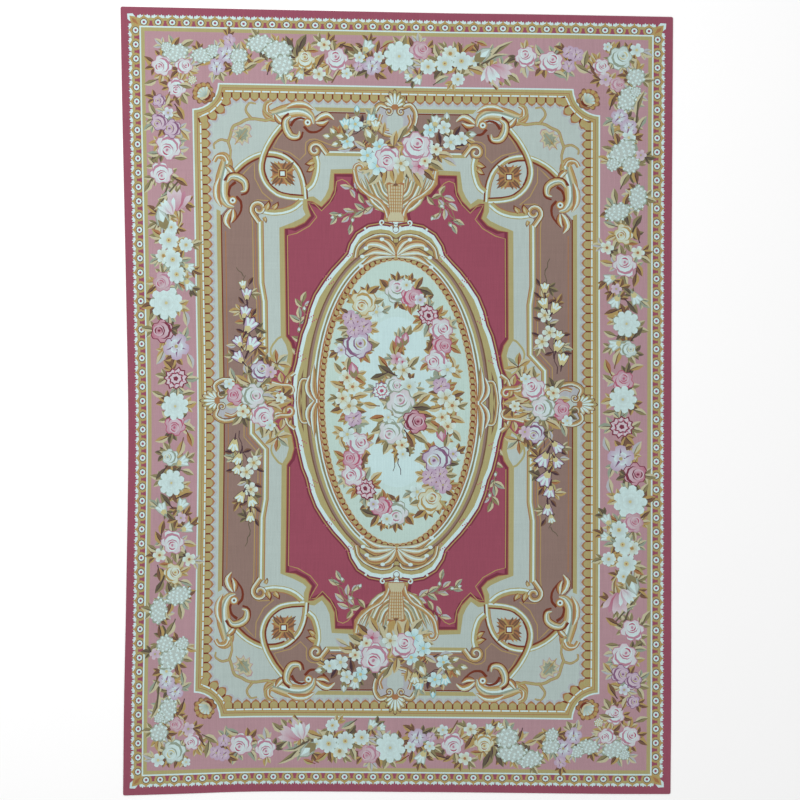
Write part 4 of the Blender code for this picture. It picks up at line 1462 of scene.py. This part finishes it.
def weave_basket(art):
    """The woven basket under an end bouquet, its foot, and the acanthus drapery that fans out from it."""
    for side in (-1, 1):
        cup = curve(((4.2, 100), (5.2, 104.6), (9, 109.8), (15, 113.4), (20.4, 119), (22.2, 126.4)), 4)
        cup = [(x * side, y) for x, y in cup]
        art.shape([(0, 100)] + cup + [(0, 126.4)], "ground")
        for k in range(7):
            foot_y, tip = 103 + 2.2 * k, (19.6 - 2.5 * k, 123.4 + 0.8 * (k % 2))
            blade = curve(((3.6, foot_y), (3.6 + (tip[0] - 3.6) * 0.55, foot_y + (tip[1] - foot_y) * 0.3), tip), 3)
            blade = [(x * side, y) for x, y in blade]
            plume(art, blade, 2.3, (("sand", "white", "old_gold"), ("orange", "sand", "grey_green"))[k % 2], "olive")
        scroll(art, cup, 1.8, 2.0, "orange")
        curl = [(x * side, y) for x, y in spiral(19.2, 127.2, 3.0, 0.8, -10, 330, 12)]
        scroll(art, curl, 1.5, 0.9, "orange")
        foot = [(side * x, y) for x, y in spiral(7.4, 98, 1.6, 0.6, -90, 250, 9)]
        art.stroke(foot, 1.3, "brown", 0.9)
        art.stroke(foot, 0.9, "white", 0.6)
    art.shape([(x * 1.12, 108.5 + (y - 108.5) * 1.05) for x, y in BASKET], "orange")
    art.shape(list(BASKET), "sand")
    for k in range(9):
        y = 118 - 1.7 * k
        art.shape([(-3.4, y - 0.25), (3.4, y - 0.25), (3.4, y + 0.25), (-3.4, y + 0.25)], "old_gold")
    for k in range(5):
        x = -2.8 + 1.4 * k
        art.shape([(x * 0.8 - 0.2, 103.6), (x * 0.8 + 0.2, 103.6), (x + 0.2, 118.8), (x - 0.2, 118.8)], "orange")
    art.stroke([(-4.8, 119), (-2, 119.8), (2, 119.8), (4.8, 119)], 1.3, "orange")
    for lean in (-48, 48, -24, 24, 0):
        leaf(art, *placed([(3.4, 0)], 0, 119.6, 90 + lean)[0], 7.6, 90 + lean, LEAF_WOOLS["gold"], 0.5, 0)


def weave_brackets(art):
    """The gold brackets that carry a side bouquet, with the crimson pockets and leaves between them."""
    for side in (-1, 1):
        flip = [(x, y * side) for x, y in ((-57.4, 2), (-63.4, 3.4), (-69.6, 8), (-70.4, 14), (-64.4, 17.4), (-60.2, 12), (-57.2, 7))]
        art.shape(flip, "field")
        arm = [(x, y * side) for x, y in curve(((-56.4, 15.4), (-60, 12.4), (-62, 7.6), (-66, 6.2), (-70.4, 9), (-75, 9)), 4)]
        scroll(art, arm, 2.2, 1.4)
        acanthus(art, arm, 3.8, side, 4)
        pod = placed([(0, 0)], -63.6, 12.6 * side)[0]
        leaf(art, *pod, 6, 100 * side, LEAF_WOOLS["gold"], 0.6)
        curl = [(x, y * side) for x, y in [(-69, 9.6), (-64, 8.2)] + spiral(-59.6, 5.4, 2.9, 0.8, 100, -210, 10)]
        scroll(art, curl, 1.9, 1.3, "orange")
        for lean in (-60, -30, 60, 30, 0):
            leaf(art, *placed([(5.4, 0)], -69, 12.4 * side, (126 + lean) * side)[0], 9.6, (126 + lean) * side, LEAF_WOOLS["gold" if lean % 60 else "olive"], 0.36)
        edge = [(x, y * side) for x, y in curve(((-62, 35), (-65.6, 33.4), (-69.4, 27), (-66.4, 19), (-60.8, 14.4)), 4)]
        art.stroke(edge, 1.2, "gold", 0.9)
        for k, lean in enumerate((150, 95, 40, -10)):
            leaf(art, *placed([(4.4, 0)], -66, 20 * side, lean * side)[0], 7.4, lean * side, LEAF_WOOLS[("gold", "orange", "grey", "gold")[k]], 0.5)
    fan = [(-56.8, 0), (-64, 4.2), (-74, 5.4), (-76, 0), (-74, -5.4), (-64, -4.2)]
    art.shape(fan, "old_gold")
    for k in range(7):
        art.stroke([(-58, 0), (-75, -4.8 + 1.6 * k)], 0.3, ("sand", "brown")[k % 2], 0.9)


def weave_centres(art):
    """The ornaments at the middle of the four sides."""
    art.copies = HALF_TURN
    centre_ornament(art, lambda points: list(points))
    centre_ornament(art, lambda points: [(62 - y, -x) for x, y in points])
    weave_basket(art)
    weave_brackets(art)
    art.copies = SINGLE


def draw_cartoon(wools):
    """The whole design, from the ground upwards."""
    art = Cartoon(wools)
    weave_borders(art)
    weave_frame(art)
    art.copies = HALF_TURN
    plant(art, GARLAND_TOP, "garland")
    plant(art, GARLAND_RIGHT, "garland")
    weave_strapwork(art)
    art.copies = HALF_TURN
    plant(art, FIELD_SPRIGS, "none")
    weave_medallion(art)
    weave_centres(art)
    art.copies = HALF_TURN
    plant(art, TOP_SPRAY, "basket", 3, 1.3)
    plant(art, SIDE_SPRAY, "basket", 3)
    plant(art, WREATH, "wreath", 4, 1.3)
    art.copies = SINGLE
    plant(art, BOUQUET, "wreath", 4, 1.3)
    return art

RIM_STEPS = ((0.0008, 0.0012), (0.0008, 0.0020))  # outwards, and down from the face, in metres
EDGE_MAP_STEP = 0.004  # how far each row of the edge is spread in the bake map
MAP_MARGIN = 0.03
FACE_DROP_AT_EDGE = 0.0004
CUT_EPSILON = 0.0004
STACK_STEP, STACK_TOP = 0.02, 5000.0  # how far apart the shapes are stacked to be looked at from above
LONGEST_STEP = 24.0  # longest straight edge of the mesh, in cm, so that it follows the cloth's uneven sides
FACE_CRUMB, FACE_SLACK = 0.25, 0.11  # smallest patch in square cm, and how far an outline may move in cm
BACK_CRUMB, BACK_SLACK = 25.0, 0.9
COLOUR_LAYER = "wool"
BAKE_MAP = "OFBake"


def to_linear(value):
    """One channel from sRGB to linear."""
    return value / 12.92 if value <= 0.04045 else ((value + 0.055) / 1.055) ** 2.4


def wool_palette(settings):
    """All the wools in linear colour, with the user's own choices in place of the plain ones."""
    palette = dict(WOOLS)
    for name in settings.bl_rna.properties.keys():
        if name in palette:
            palette[name] = tuple(getattr(settings, name))
    return {name: tuple(to_linear(c) for c in colour) for name, colour in palette.items()}


def look_down(tree, flat, triangles):
    """The face of the tree that shows at the middle of each triangle, seen from above."""
    down = Vector((0.0, 0.0, -1.0))
    middles = flat[triangles].mean(1).tolist()
    return np.array([tree.ray_cast((x, y, STACK_TOP), down)[2] for x, y in middles])


def cut_plane(points, lines):
    """Splits the plane into triangles along the lines. Gives its points and triangles as arrays."""
    cut = delaunay_2d_cdt([Vector(p) for p in points], lines, [], 0, CUT_EPSILON, False)
    return np.array([tuple(p) for p in cut[0]]), np.array(cut[2])


def cut_shapes(art):
    """Cuts the plane along every outline of the cartoon, and finds which shape shows in each triangle."""
    lines, stack = [], []
    for height, ring in enumerate(art.shapes):
        lines += zip(ring, [*ring[1:], ring[0]])
        stack += [(*art.points[k], height * STACK_STEP) for k in ring]
    flat, triangles = cut_plane(art.points, lines)
    shown = look_down(BVHTree.FromPolygons(stack, art.shapes), flat, triangles)
    names = {}
    paint_of = np.array([names.setdefault(paint, len(names)) for paint in art.paints])
    return flat, triangles, paint_of[shown], list(names)


def neighbours(triangles):
    """Every edge once as two points, with the triangle on each side of it, or -1 where there is none."""
    edges = np.sort(np.concatenate([triangles[:, [0, 1]], triangles[:, [1, 2]], triangles[:, [2, 0]]]), 1)
    owner = np.tile(np.arange(len(triangles)), 3)
    order = np.lexsort((edges[:, 1], edges[:, 0]))
    edges, owner = edges[order], owner[order]
    paired = np.append((edges[1:] == edges[:-1]).all(1), False)
    first = np.append(True, ~paired[:-1])
    other = np.where(paired, np.append(owner[1:], -1), -1)
    return edges[first], owner[first], other[first]


def merge_crumbs(flat, triangles, paints, least_area):
    """Gives every patch below the least area the paint of the neighbour that it borders most."""
    edges, one, other = neighbours(triangles)
    inner = other >= 0
    edges, one, other = edges[inner], one[inner].tolist(), other[inner].tolist()
    lengths = np.linalg.norm(flat[edges[:, 0]] - flat[edges[:, 1]], axis=1).tolist()
    root = list(range(len(triangles)))

    def find(k):
        while root[k] != k:
            root[k] = root[root[k]]
            k = root[k]
        return k

    wool = paints.tolist()
    for a, b in zip(one, other):
        if wool[a] == wool[b]:
            root[find(b)] = find(a)
    corner = flat[triangles]
    side_a, side_b = corner[:, 1] - corner[:, 0], corner[:, 2] - corner[:, 0]
    areas = abs(side_a[:, 0] * side_b[:, 1] - side_a[:, 1] * side_b[:, 0]) / 2
    patch_area, borders = {}, {}
    for k, area in enumerate(areas.tolist()):
        patch = find(k)
        patch_area[patch] = patch_area.get(patch, 0.0) + area
        borders.setdefault(patch, {})
    for a, b, length in zip(one, other, lengths):
        a, b = find(a), find(b)
        if a != b:
            borders[a][b] = borders[a].get(b, 0.0) + length
            borders[b][a] = borders[b].get(a, 0.0) + length
    for patch in sorted((p for p, area in patch_area.items() if area < least_area), key=patch_area.get):
        if find(patch) != patch or patch_area[patch] >= least_area or not borders[patch]:
            continue
        taker = max(borders[patch], key=borders[patch].get)
        root[patch] = taker
        patch_area[taker] += patch_area[patch]
        for beside, length in borders.pop(patch).items():
            borders[beside].pop(patch)
            if beside != taker:
                borders[taker][beside] = borders[taker].get(beside, 0.0) + length
                borders[beside][taker] = borders[beside].get(taker, 0.0) + length
    return np.array([wool[find(k)] for k in range(len(triangles))])


def trace_paths(edges):
    """Joins edges into paths that run between the points where other than two of them meet."""
    near = {}
    for a, b in edges:
        near.setdefault(a, []).append(b)
        near.setdefault(b, []).append(a)
    ends = [point for point, others in near.items() if len(others) != 2]
    walked = set()
    paths = []
    for start in itertools.chain(ends, near):
        for following in near[start]:
            if (start, following) in walked:
                continue
            path = [start, following]
            while len(near[path[-1]]) == 2 and path[-1] != start:
                a, b = near[path[-1]]
                path.append(b if a == path[-2] else a)
            for a, b in zip(path, path[1:]):
                walked.add((a, b))
                walked.add((b, a))
            paths.append(path)
    return paths


def thin_out(path, spots, slack):
    """Leaves out the points of a path that lie within the slack of a straight run."""
    kept = [path[0]]
    anchor = 0
    while anchor < len(path) - 1:
        reach = anchor + 1
        ax, ay = spots[path[anchor]]
        while reach + 1 < len(path):
            dx, dy = spots[path[reach + 1]][0] - ax, spots[path[reach + 1]][1] - ay
            length = math.hypot(dx, dy)
            between = (spots[k] for k in path[anchor + 1 : reach + 1])
            if not 0 < length < LONGEST_STEP:
                break
            if any(abs((x - ax) * dy - (y - ay) * dx) > slack * length for x, y in between):
                break
            reach += 1
        anchor = reach
        kept.append(path[anchor])
    return kept


def simplify(flat, triangles, paints, least_area, slack):
    """Redraws the cut plane with only the lines that show, without crumbs and needless points."""
    paints = merge_crumbs(flat, triangles, paints, least_area)
    edges, one, other = neighbours(triangles)
    shows = (other >= 0) & (paints[one] != paints[other])
    spots = flat.tolist()
    places, lines = {}, []
    for a, b in edges[other < 0].tolist():
        lines.append((places.setdefault(a, len(places)), places.setdefault(b, len(places))))
    for path in trace_paths(edges[shows].tolist()):
        third = len(path) // 3 if path[0] == path[-1] else 0
        parts = (path[: third + 1], path[third : 2 * third + 1], path[2 * third :]) if third else (path,)
        for part in parts:
            row = [places.setdefault(k, len(places)) for k in thin_out(part, spots, slack)]
            lines += zip(row, row[1:])
    new_flat, new_triangles = cut_plane([spots[k] for k in places], lines)
    tree = BVHTree.FromPolygons([(x, y, 0.0) for x, y in spots], triangles.tolist(), all_triangles=True)
    return new_flat, new_triangles, paints[look_down(tree, new_flat, new_triangles)]


def corner_colours(flat, triangles, paints, names):
    """The wool at each corner of each triangle, with the blends worked out."""
    first = np.array([names[k][0] for k in range(len(names))])[paints][:, None, :]
    last = np.array([names[k][1] for k in range(len(names))])[paints][:, None, :]
    blend = np.array([names[k][2] for k in range(len(names))])[paints][:, None, :]
    away = flat[triangles] - blend[:, :, 1:3]
    out_from = np.hypot(away[..., 0], away[..., 1]) / np.maximum(blend[..., 3], 1e-6)
    line = blend[:, :, 3:5] - blend[:, :, 1:3]
    along = (away * line).sum(-1) / np.maximum((line * line).sum(-1), 1e-9)
    share = np.where(blend[..., 0] == 1, out_from, np.where(blend[..., 0] == 2, along, 0.0))
    share = np.clip(share, 0, 1)[..., None]
    return first * (1 - share) + last * share


def map_place(points):
    """Where points of the cloth, in metres, fall in the bake map, which looks straight down on it."""
    return 0.5 + np.asarray(points)[..., :2] / (2 * (np.array(CLOTH_HIGH[:2]) + MAP_MARGIN))


def outer_ring(triangles):
    """The points of the outer edge, anticlockwise."""
    sides = [tuple(row[[k, (k + 1) % 3]]) for row in triangles for k in range(3)]
    known = set(sides)
    following = {int(a): int(b) for a, b in sides if (b, a) not in known}
    ring = [min(following)]
    while following[ring[-1]] != ring[0]:
        ring.append(following[ring[-1]])
    return ring


def make_cloth(settings):
    """The whole rug as one closed sheet: woven underside, rounded edges and woven face."""
    art = draw_cartoon(wool_palette(settings))
    cut = cut_shapes(art)
    names = cut[3]
    face = simplify(*cut[:3], FACE_CRUMB, FACE_SLACK)
    back = simplify(*face, BACK_CRUMB, BACK_SLACK)
    high, low = CLOTH_HIGH[2], CLOTH_LOW[2]
    face_laid, back_laid = lay_on_cloth(face[0]), lay_on_cloth(back[0])
    face_ring, back_ring = outer_ring(face[1]), outer_ring(back[1])
    edge = face_laid[face_ring]
    along = np.roll(edge, -1, 0) - np.roll(edge, 1, 0)
    outward = np.stack((along[:, 1], -along[:, 0]), 1) / np.linalg.norm(along, axis=1)[:, None]
    # Points in the order underside, rows of the rounded edge, face
    back_points = np.column_stack((back_laid, np.full(len(back_laid), low)))
    rows = [np.column_stack((edge + outward * spread, np.full(len(edge), high - drop))) for spread, drop in RIM_STEPS]
    face_points = np.column_stack((face_laid, np.full(len(face_laid), high)))
    face_points[face_ring, 2] = high - FACE_DROP_AT_EDGE
    points = np.concatenate([back_points, *rows, face_points])
    start = len(back_points)
    top = start + len(edge) * len(rows)
    matched = {(round(x, 4), round(y, 4)): k for k, (x, y) in zip(back_ring, back[0][back_ring])}
    levels = [[top + k for k in face_ring]]
    levels += [list(range(start + r * len(edge), start + (r + 1) * len(edge))) for r in range(len(rows))]
    levels.append([matched[(round(x, 4), round(y, 4))] for x, y in face[0][face_ring]])
    walls, wall_maps = [], []
    for step, (upper, lower) in enumerate(zip(levels, levels[1:])):
        for k in range(len(edge)):
            j = (k + 1) % len(edge)
            walls.append((upper[k], lower[k], lower[j], upper[j]))
            for spot, depth in ((k, step), (k, step + 1), (j, step + 1), (j, step)):
                wall_maps.append(map_place(edge[spot] + outward[spot] * depth * EDGE_MAP_STEP))
    faces = [*back[1][:, ::-1].tolist(), *walls, *(face[1] + top).tolist()]
    mesh = bpy.data.meshes.new("rug_weave")
    mesh.from_pydata(points.tolist(), [], faces)
    crimson = np.tile(art.wools["crimson"], (len(walls) * 4, 1))
    colours = np.concatenate([
        corner_colours(*back, names)[:, ::-1].reshape(-1, 3), crimson, corner_colours(*face, names).reshape(-1, 3)
    ])
    layer = mesh.attributes.new(COLOUR_LAYER, "FLOAT_COLOR", "CORNER")
    layer.data.foreach_set("color", np.column_stack((colours, np.ones(len(colours)))).ravel())
    maps = np.concatenate([
        map_place(back_laid[back[1][:, ::-1]]).reshape(-1, 2), wall_maps, map_place(face_laid[face[1]]).reshape(-1, 2)
    ])
    mesh.uv_layers.new(name=BAKE_MAP).data.foreach_set("uv", maps.ravel())
    print("cloth triangles", len(back[1]), len(walls) * 2, len(face[1]), file=sys.stderr)
    cloth = bpy.data.objects.new("rug_weave", mesh)
    bpy.context.scene.collection.objects.link(cloth)
    mesh.materials.append(wool_material(settings))
    return cloth


def node_maker(material):
    """Gives a function that adds a node with its settings and its plain input values."""
    nodes = material.node_tree.nodes

    def add(kind, values=None, **settings):
        node = nodes.new(kind)
        for name, value in settings.items():
            setattr(node, name, value)
        for name, value in (values or {}).items():
            node.inputs[name].default_value = value
        return node

    return add


def wool_material(settings):
    """Tapestry-woven wool: ribs along the length with painted shade in their grooves, streaky dye, yarn specks and soft
    creases.
    """
    material = bpy.data.materials.new("tapestry_wool")
    material.use_nodes = True
    tree = material.node_tree
    add, link = node_maker(material), tree.links.new
    shader = tree.nodes["Principled BSDF"]
    shader.inputs["Roughness"].default_value = 0.92
    shader.inputs["Specular IOR Level"].default_value = 0.12
    shader.inputs["Sheen Weight"].default_value = 0.08
    shader.inputs["Sheen Roughness"].default_value = 0.6
    wool = add("ShaderNodeAttribute", attribute_name=COLOUR_LAYER)
    place = add("ShaderNodeTexCoord").outputs["Object"]

    def noise(stretch, detail, low, high):
        """Noise stretched by axis, as a factor from low to high."""
        mapping = add("ShaderNodeMapping", {"Scale": stretch})
        link(place, mapping.inputs["Vector"])
        cloud = add("ShaderNodeTexNoise", {"Scale": 1.0, "Detail": detail, "Roughness": 0.6})
        link(mapping.outputs["Vector"], cloud.inputs["Vector"])
        reach = add("ShaderNodeMapRange", {"From Min": 0.25, "From Max": 0.75, "To Min": low, "To Max": high})
        link(cloud.outputs["Fac"], reach.inputs["Value"])
        return reach.outputs["Result"]

    def times(a, b):
        product = add("ShaderNodeMath", operation="MULTIPLY")
        link(a, product.inputs[0])
        link(b, product.inputs[1])
        return product.outputs["Value"]

    ribs = add("ShaderNodeTexWave", {"Scale": math.tau / 20 / settings.rib_pitch, "Distortion": 0.6, "Detail": 1.0},
               wave_type="BANDS", bands_direction="X", wave_profile="SIN")
    link(place, ribs.inputs["Vector"])
    # Painted shade: the colour is darkened by up to 7 per cent in the grooves between the ribs, on top of their bump
    painted_groove_shade = add("ShaderNodeMapRange", {"To Min": 0.93, "To Max": 1.0})
    link(ribs.outputs["Fac"], painted_groove_shade.inputs["Value"])
    shade = times(noise((150.0, 7.0, 1.0), 3.0, 0.93, 1.06), noise((2.2, 1.6, 1.0), 2.0, 0.97, 1.03))
    shade = times(shade, noise((190.0, 420.0, 1.0), 2.0, 0.90, 1.09))
    shade = times(shade, noise((3.0, 90.0, 1.0), 2.0, 0.975, 1.02))
    # The painted shade of the rib grooves goes into the colour here
    shade = times(shade, painted_groove_shade.outputs["Result"])
    tint = add("ShaderNodeVectorMath", operation="SCALE")
    link(wool.outputs["Color"], tint.inputs[0])
    link(shade, tint.inputs["Scale"])
    link(tint.outputs["Vector"], shader.inputs["Base Color"])

    rib_bump = add("ShaderNodeBump", {"Strength": 0.5, "Distance": settings.rib_depth})
    link(ribs.outputs["Fac"], rib_bump.inputs["Height"])
    yarn_bump = add("ShaderNodeBump", {"Strength": 0.5, "Distance": settings.rib_depth * 0.8})
    link(noise((260.0, 700.0, 1.0), 2.0, 0.0, 1.0), yarn_bump.inputs["Height"])
    link(rib_bump.outputs["Normal"], yarn_bump.inputs["Normal"])
    crease_bump = add("ShaderNodeBump", {"Strength": 0.6, "Distance": 0.012})
    link(noise((1.1, 4.0, 1.0), 3.0, 0.0, 1.0), crease_bump.inputs["Height"])
    link(yarn_bump.outputs["Normal"], crease_bump.inputs["Normal"])
    link(crease_bump.outputs["Normal"], shader.inputs["Normal"])
    return material


def make_stage(settings):
    """A plain pale floor, even studio light and a camera that looks straight down."""
    shape = bmesh.new()
    bmesh.ops.create_grid(shape, x_segments=1, y_segments=1, size=settings.floor_size / 2)
    bmesh.ops.translate(shape, vec=(0.0, 0.0, CLOTH_LOW[2] - 0.0005), verts=shape.verts)
    mesh = bpy.data.meshes.new("floor")
    shape.to_mesh(mesh)
    shape.free()
    floor = bpy.data.objects.new("floor", mesh)
    bpy.context.scene.collection.objects.link(floor)
    paint = bpy.data.materials.new("floor_paint")
    paint.use_nodes = True
    shader = paint.node_tree.nodes["Principled BSDF"]
    shader.inputs["Base Color"].default_value = (0.93, 0.93, 0.93, 1.0)
    shader.inputs["Roughness"].default_value = 0.9
    mesh.materials.append(paint)

    scene = bpy.context.scene
    scene.view_settings.view_transform = "Standard"
    world = bpy.data.worlds.new("studio")
    world.use_nodes = True
    world.node_tree.nodes["Background"].inputs["Color"].default_value = (1.0, 1.0, 1.0, 1.0)
    world.node_tree.nodes["Background"].inputs["Strength"].default_value = settings.sky_strength
    scene.world = world
    lamp_data = bpy.data.lights.new("softbox", "AREA")
    lamp_data.size = 5.0
    lamp_data.energy = settings.lamp_power
    lamp = bpy.data.objects.new("softbox", lamp_data)
    lamp.location = (-3.4, 3.2, 5.0)
    lamp.rotation_euler = Vector((3.4, -3.2, -5.0)).to_track_quat("-Z", "Y").to_euler()
    scene.collection.objects.link(lamp)

    view = bpy.data.cameras.new("camera")
    view.lens = CAMERA_LENS
    view.sensor_width = CAMERA_SENSOR
    view.clip_end = 100.0
    camera = bpy.data.objects.new("camera", view)
    camera.location = (*CAMERA_OFFSET, VIEW_SPAN * CAMERA_LENS / CAMERA_SENSOR)
    scene.collection.objects.link(camera)
    scene.camera = camera


def wool_property(key, name, description):
    """A colour property of one wool, as it looks."""
    return FloatVectorProperty(
        name=name, description=description, subtype="COLOR_GAMMA", size=3, min=0.0, max=1.0, default=WOOLS[key]
    )


class RugSettings(bpy.types.PropertyGroup):
    """Sizes and colours of the rug and its stage."""

    rib_pitch: FloatProperty(
        name="Rib pitch", description="Distance between the ribs of the weave",
        default=0.0036, min=0.001, max=0.02, unit="LENGTH",
    )
    rib_depth: FloatProperty(
        name="Rib depth", description="Height of the ribs of the weave",
        default=0.0005, min=0.0, max=0.003, unit="LENGTH",
    )
    crimson: wool_property("crimson", "Crimson", "Wool of the plain outer edge")
    field: wool_property("field", "Field crimson", "Wool of the inner field")
    rose: wool_property("rose", "Old rose", "Wool behind the garland")
    taupe: wool_property("taupe", "Taupe", "Wool of the four panels")
    ground: wool_property("ground", "Grey cream", "Wool behind the straps")
    ivory: wool_property("ivory", "Ivory", "Wool of the medallion's oval")
    gold: wool_property("gold", "Gold", "Wool of the straps and bands")
    old_gold: wool_property("old_gold", "Old gold", "Wool of the frame's eggs and the rope")
    floor_size: FloatProperty(
        name="Floor size", description="Side of the square floor", default=24.0, min=5.0, max=60.0, unit="LENGTH"
    )
    sky_strength: FloatProperty(
        name="Sky strength", description="Brightness of the even light", default=0.82, min=0.0, max=3.0
    )
    lamp_power: FloatProperty(
        name="Lamp power", description="Power of the soft lamp", default=220.0, min=0.0, max=3000.0, unit="POWER"
    )


class RUG_OT_weave_cloth(bpy.types.Operator):
    """Weave the rug as one closed sheet of wool"""

    bl_idname = "rug.weave_cloth"
    bl_label = "Weave the rug"
    bl_options = {"REGISTER", "UNDO"}

    def execute(self, context):
        cloth = make_cloth(context.scene.rug_settings)
        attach(cloth, "root")
        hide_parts(CLOTH_NODE)
        return {"FINISHED"}


class RUG_OT_set_stage(bpy.types.Operator):
    """Set the floor, the studio light and the camera"""

    bl_idname = "rug.set_stage"
    bl_label = "Set the stage"
    bl_options = {"REGISTER", "UNDO"}

    def execute(self, context):
        make_stage(context.scene.rug_settings)
        return {"FINISHED"}


class RUG_PT_panel(bpy.types.Panel):
    """Lists the rug's sizes, wools and steps"""

    bl_idname = "RUG_PT_panel"
    bl_label = "Medallion rug"
    bl_space_type = "VIEW_3D"
    bl_region_type = "UI"
    bl_category = "Rug"

    def draw(self, context):
        column = self.layout.column()
        settings = context.scene.rug_settings
        for name in RugSettings.__annotations__:
            column.prop(settings, name)
        column.operator(RUG_OT_weave_cloth.bl_idname)
        column.operator(RUG_OT_set_stage.bl_idname)


CLASSES = (RugSettings, RUG_OT_weave_cloth, RUG_OT_set_stage, RUG_PT_panel)


def register():
    for item in CLASSES:
        bpy.utils.register_class(item)
    bpy.types.Scene.rug_settings = PointerProperty(type=RugSettings)


def unregister():
    del bpy.types.Scene.rug_settings
    for item in reversed(CLASSES):
        bpy.utils.unregister_class(item)


def main():
    register()
    bpy.ops.rug.set_stage()
    bpy.ops.rug.weave_cloth()


if __name__ == "__main__":
    main()
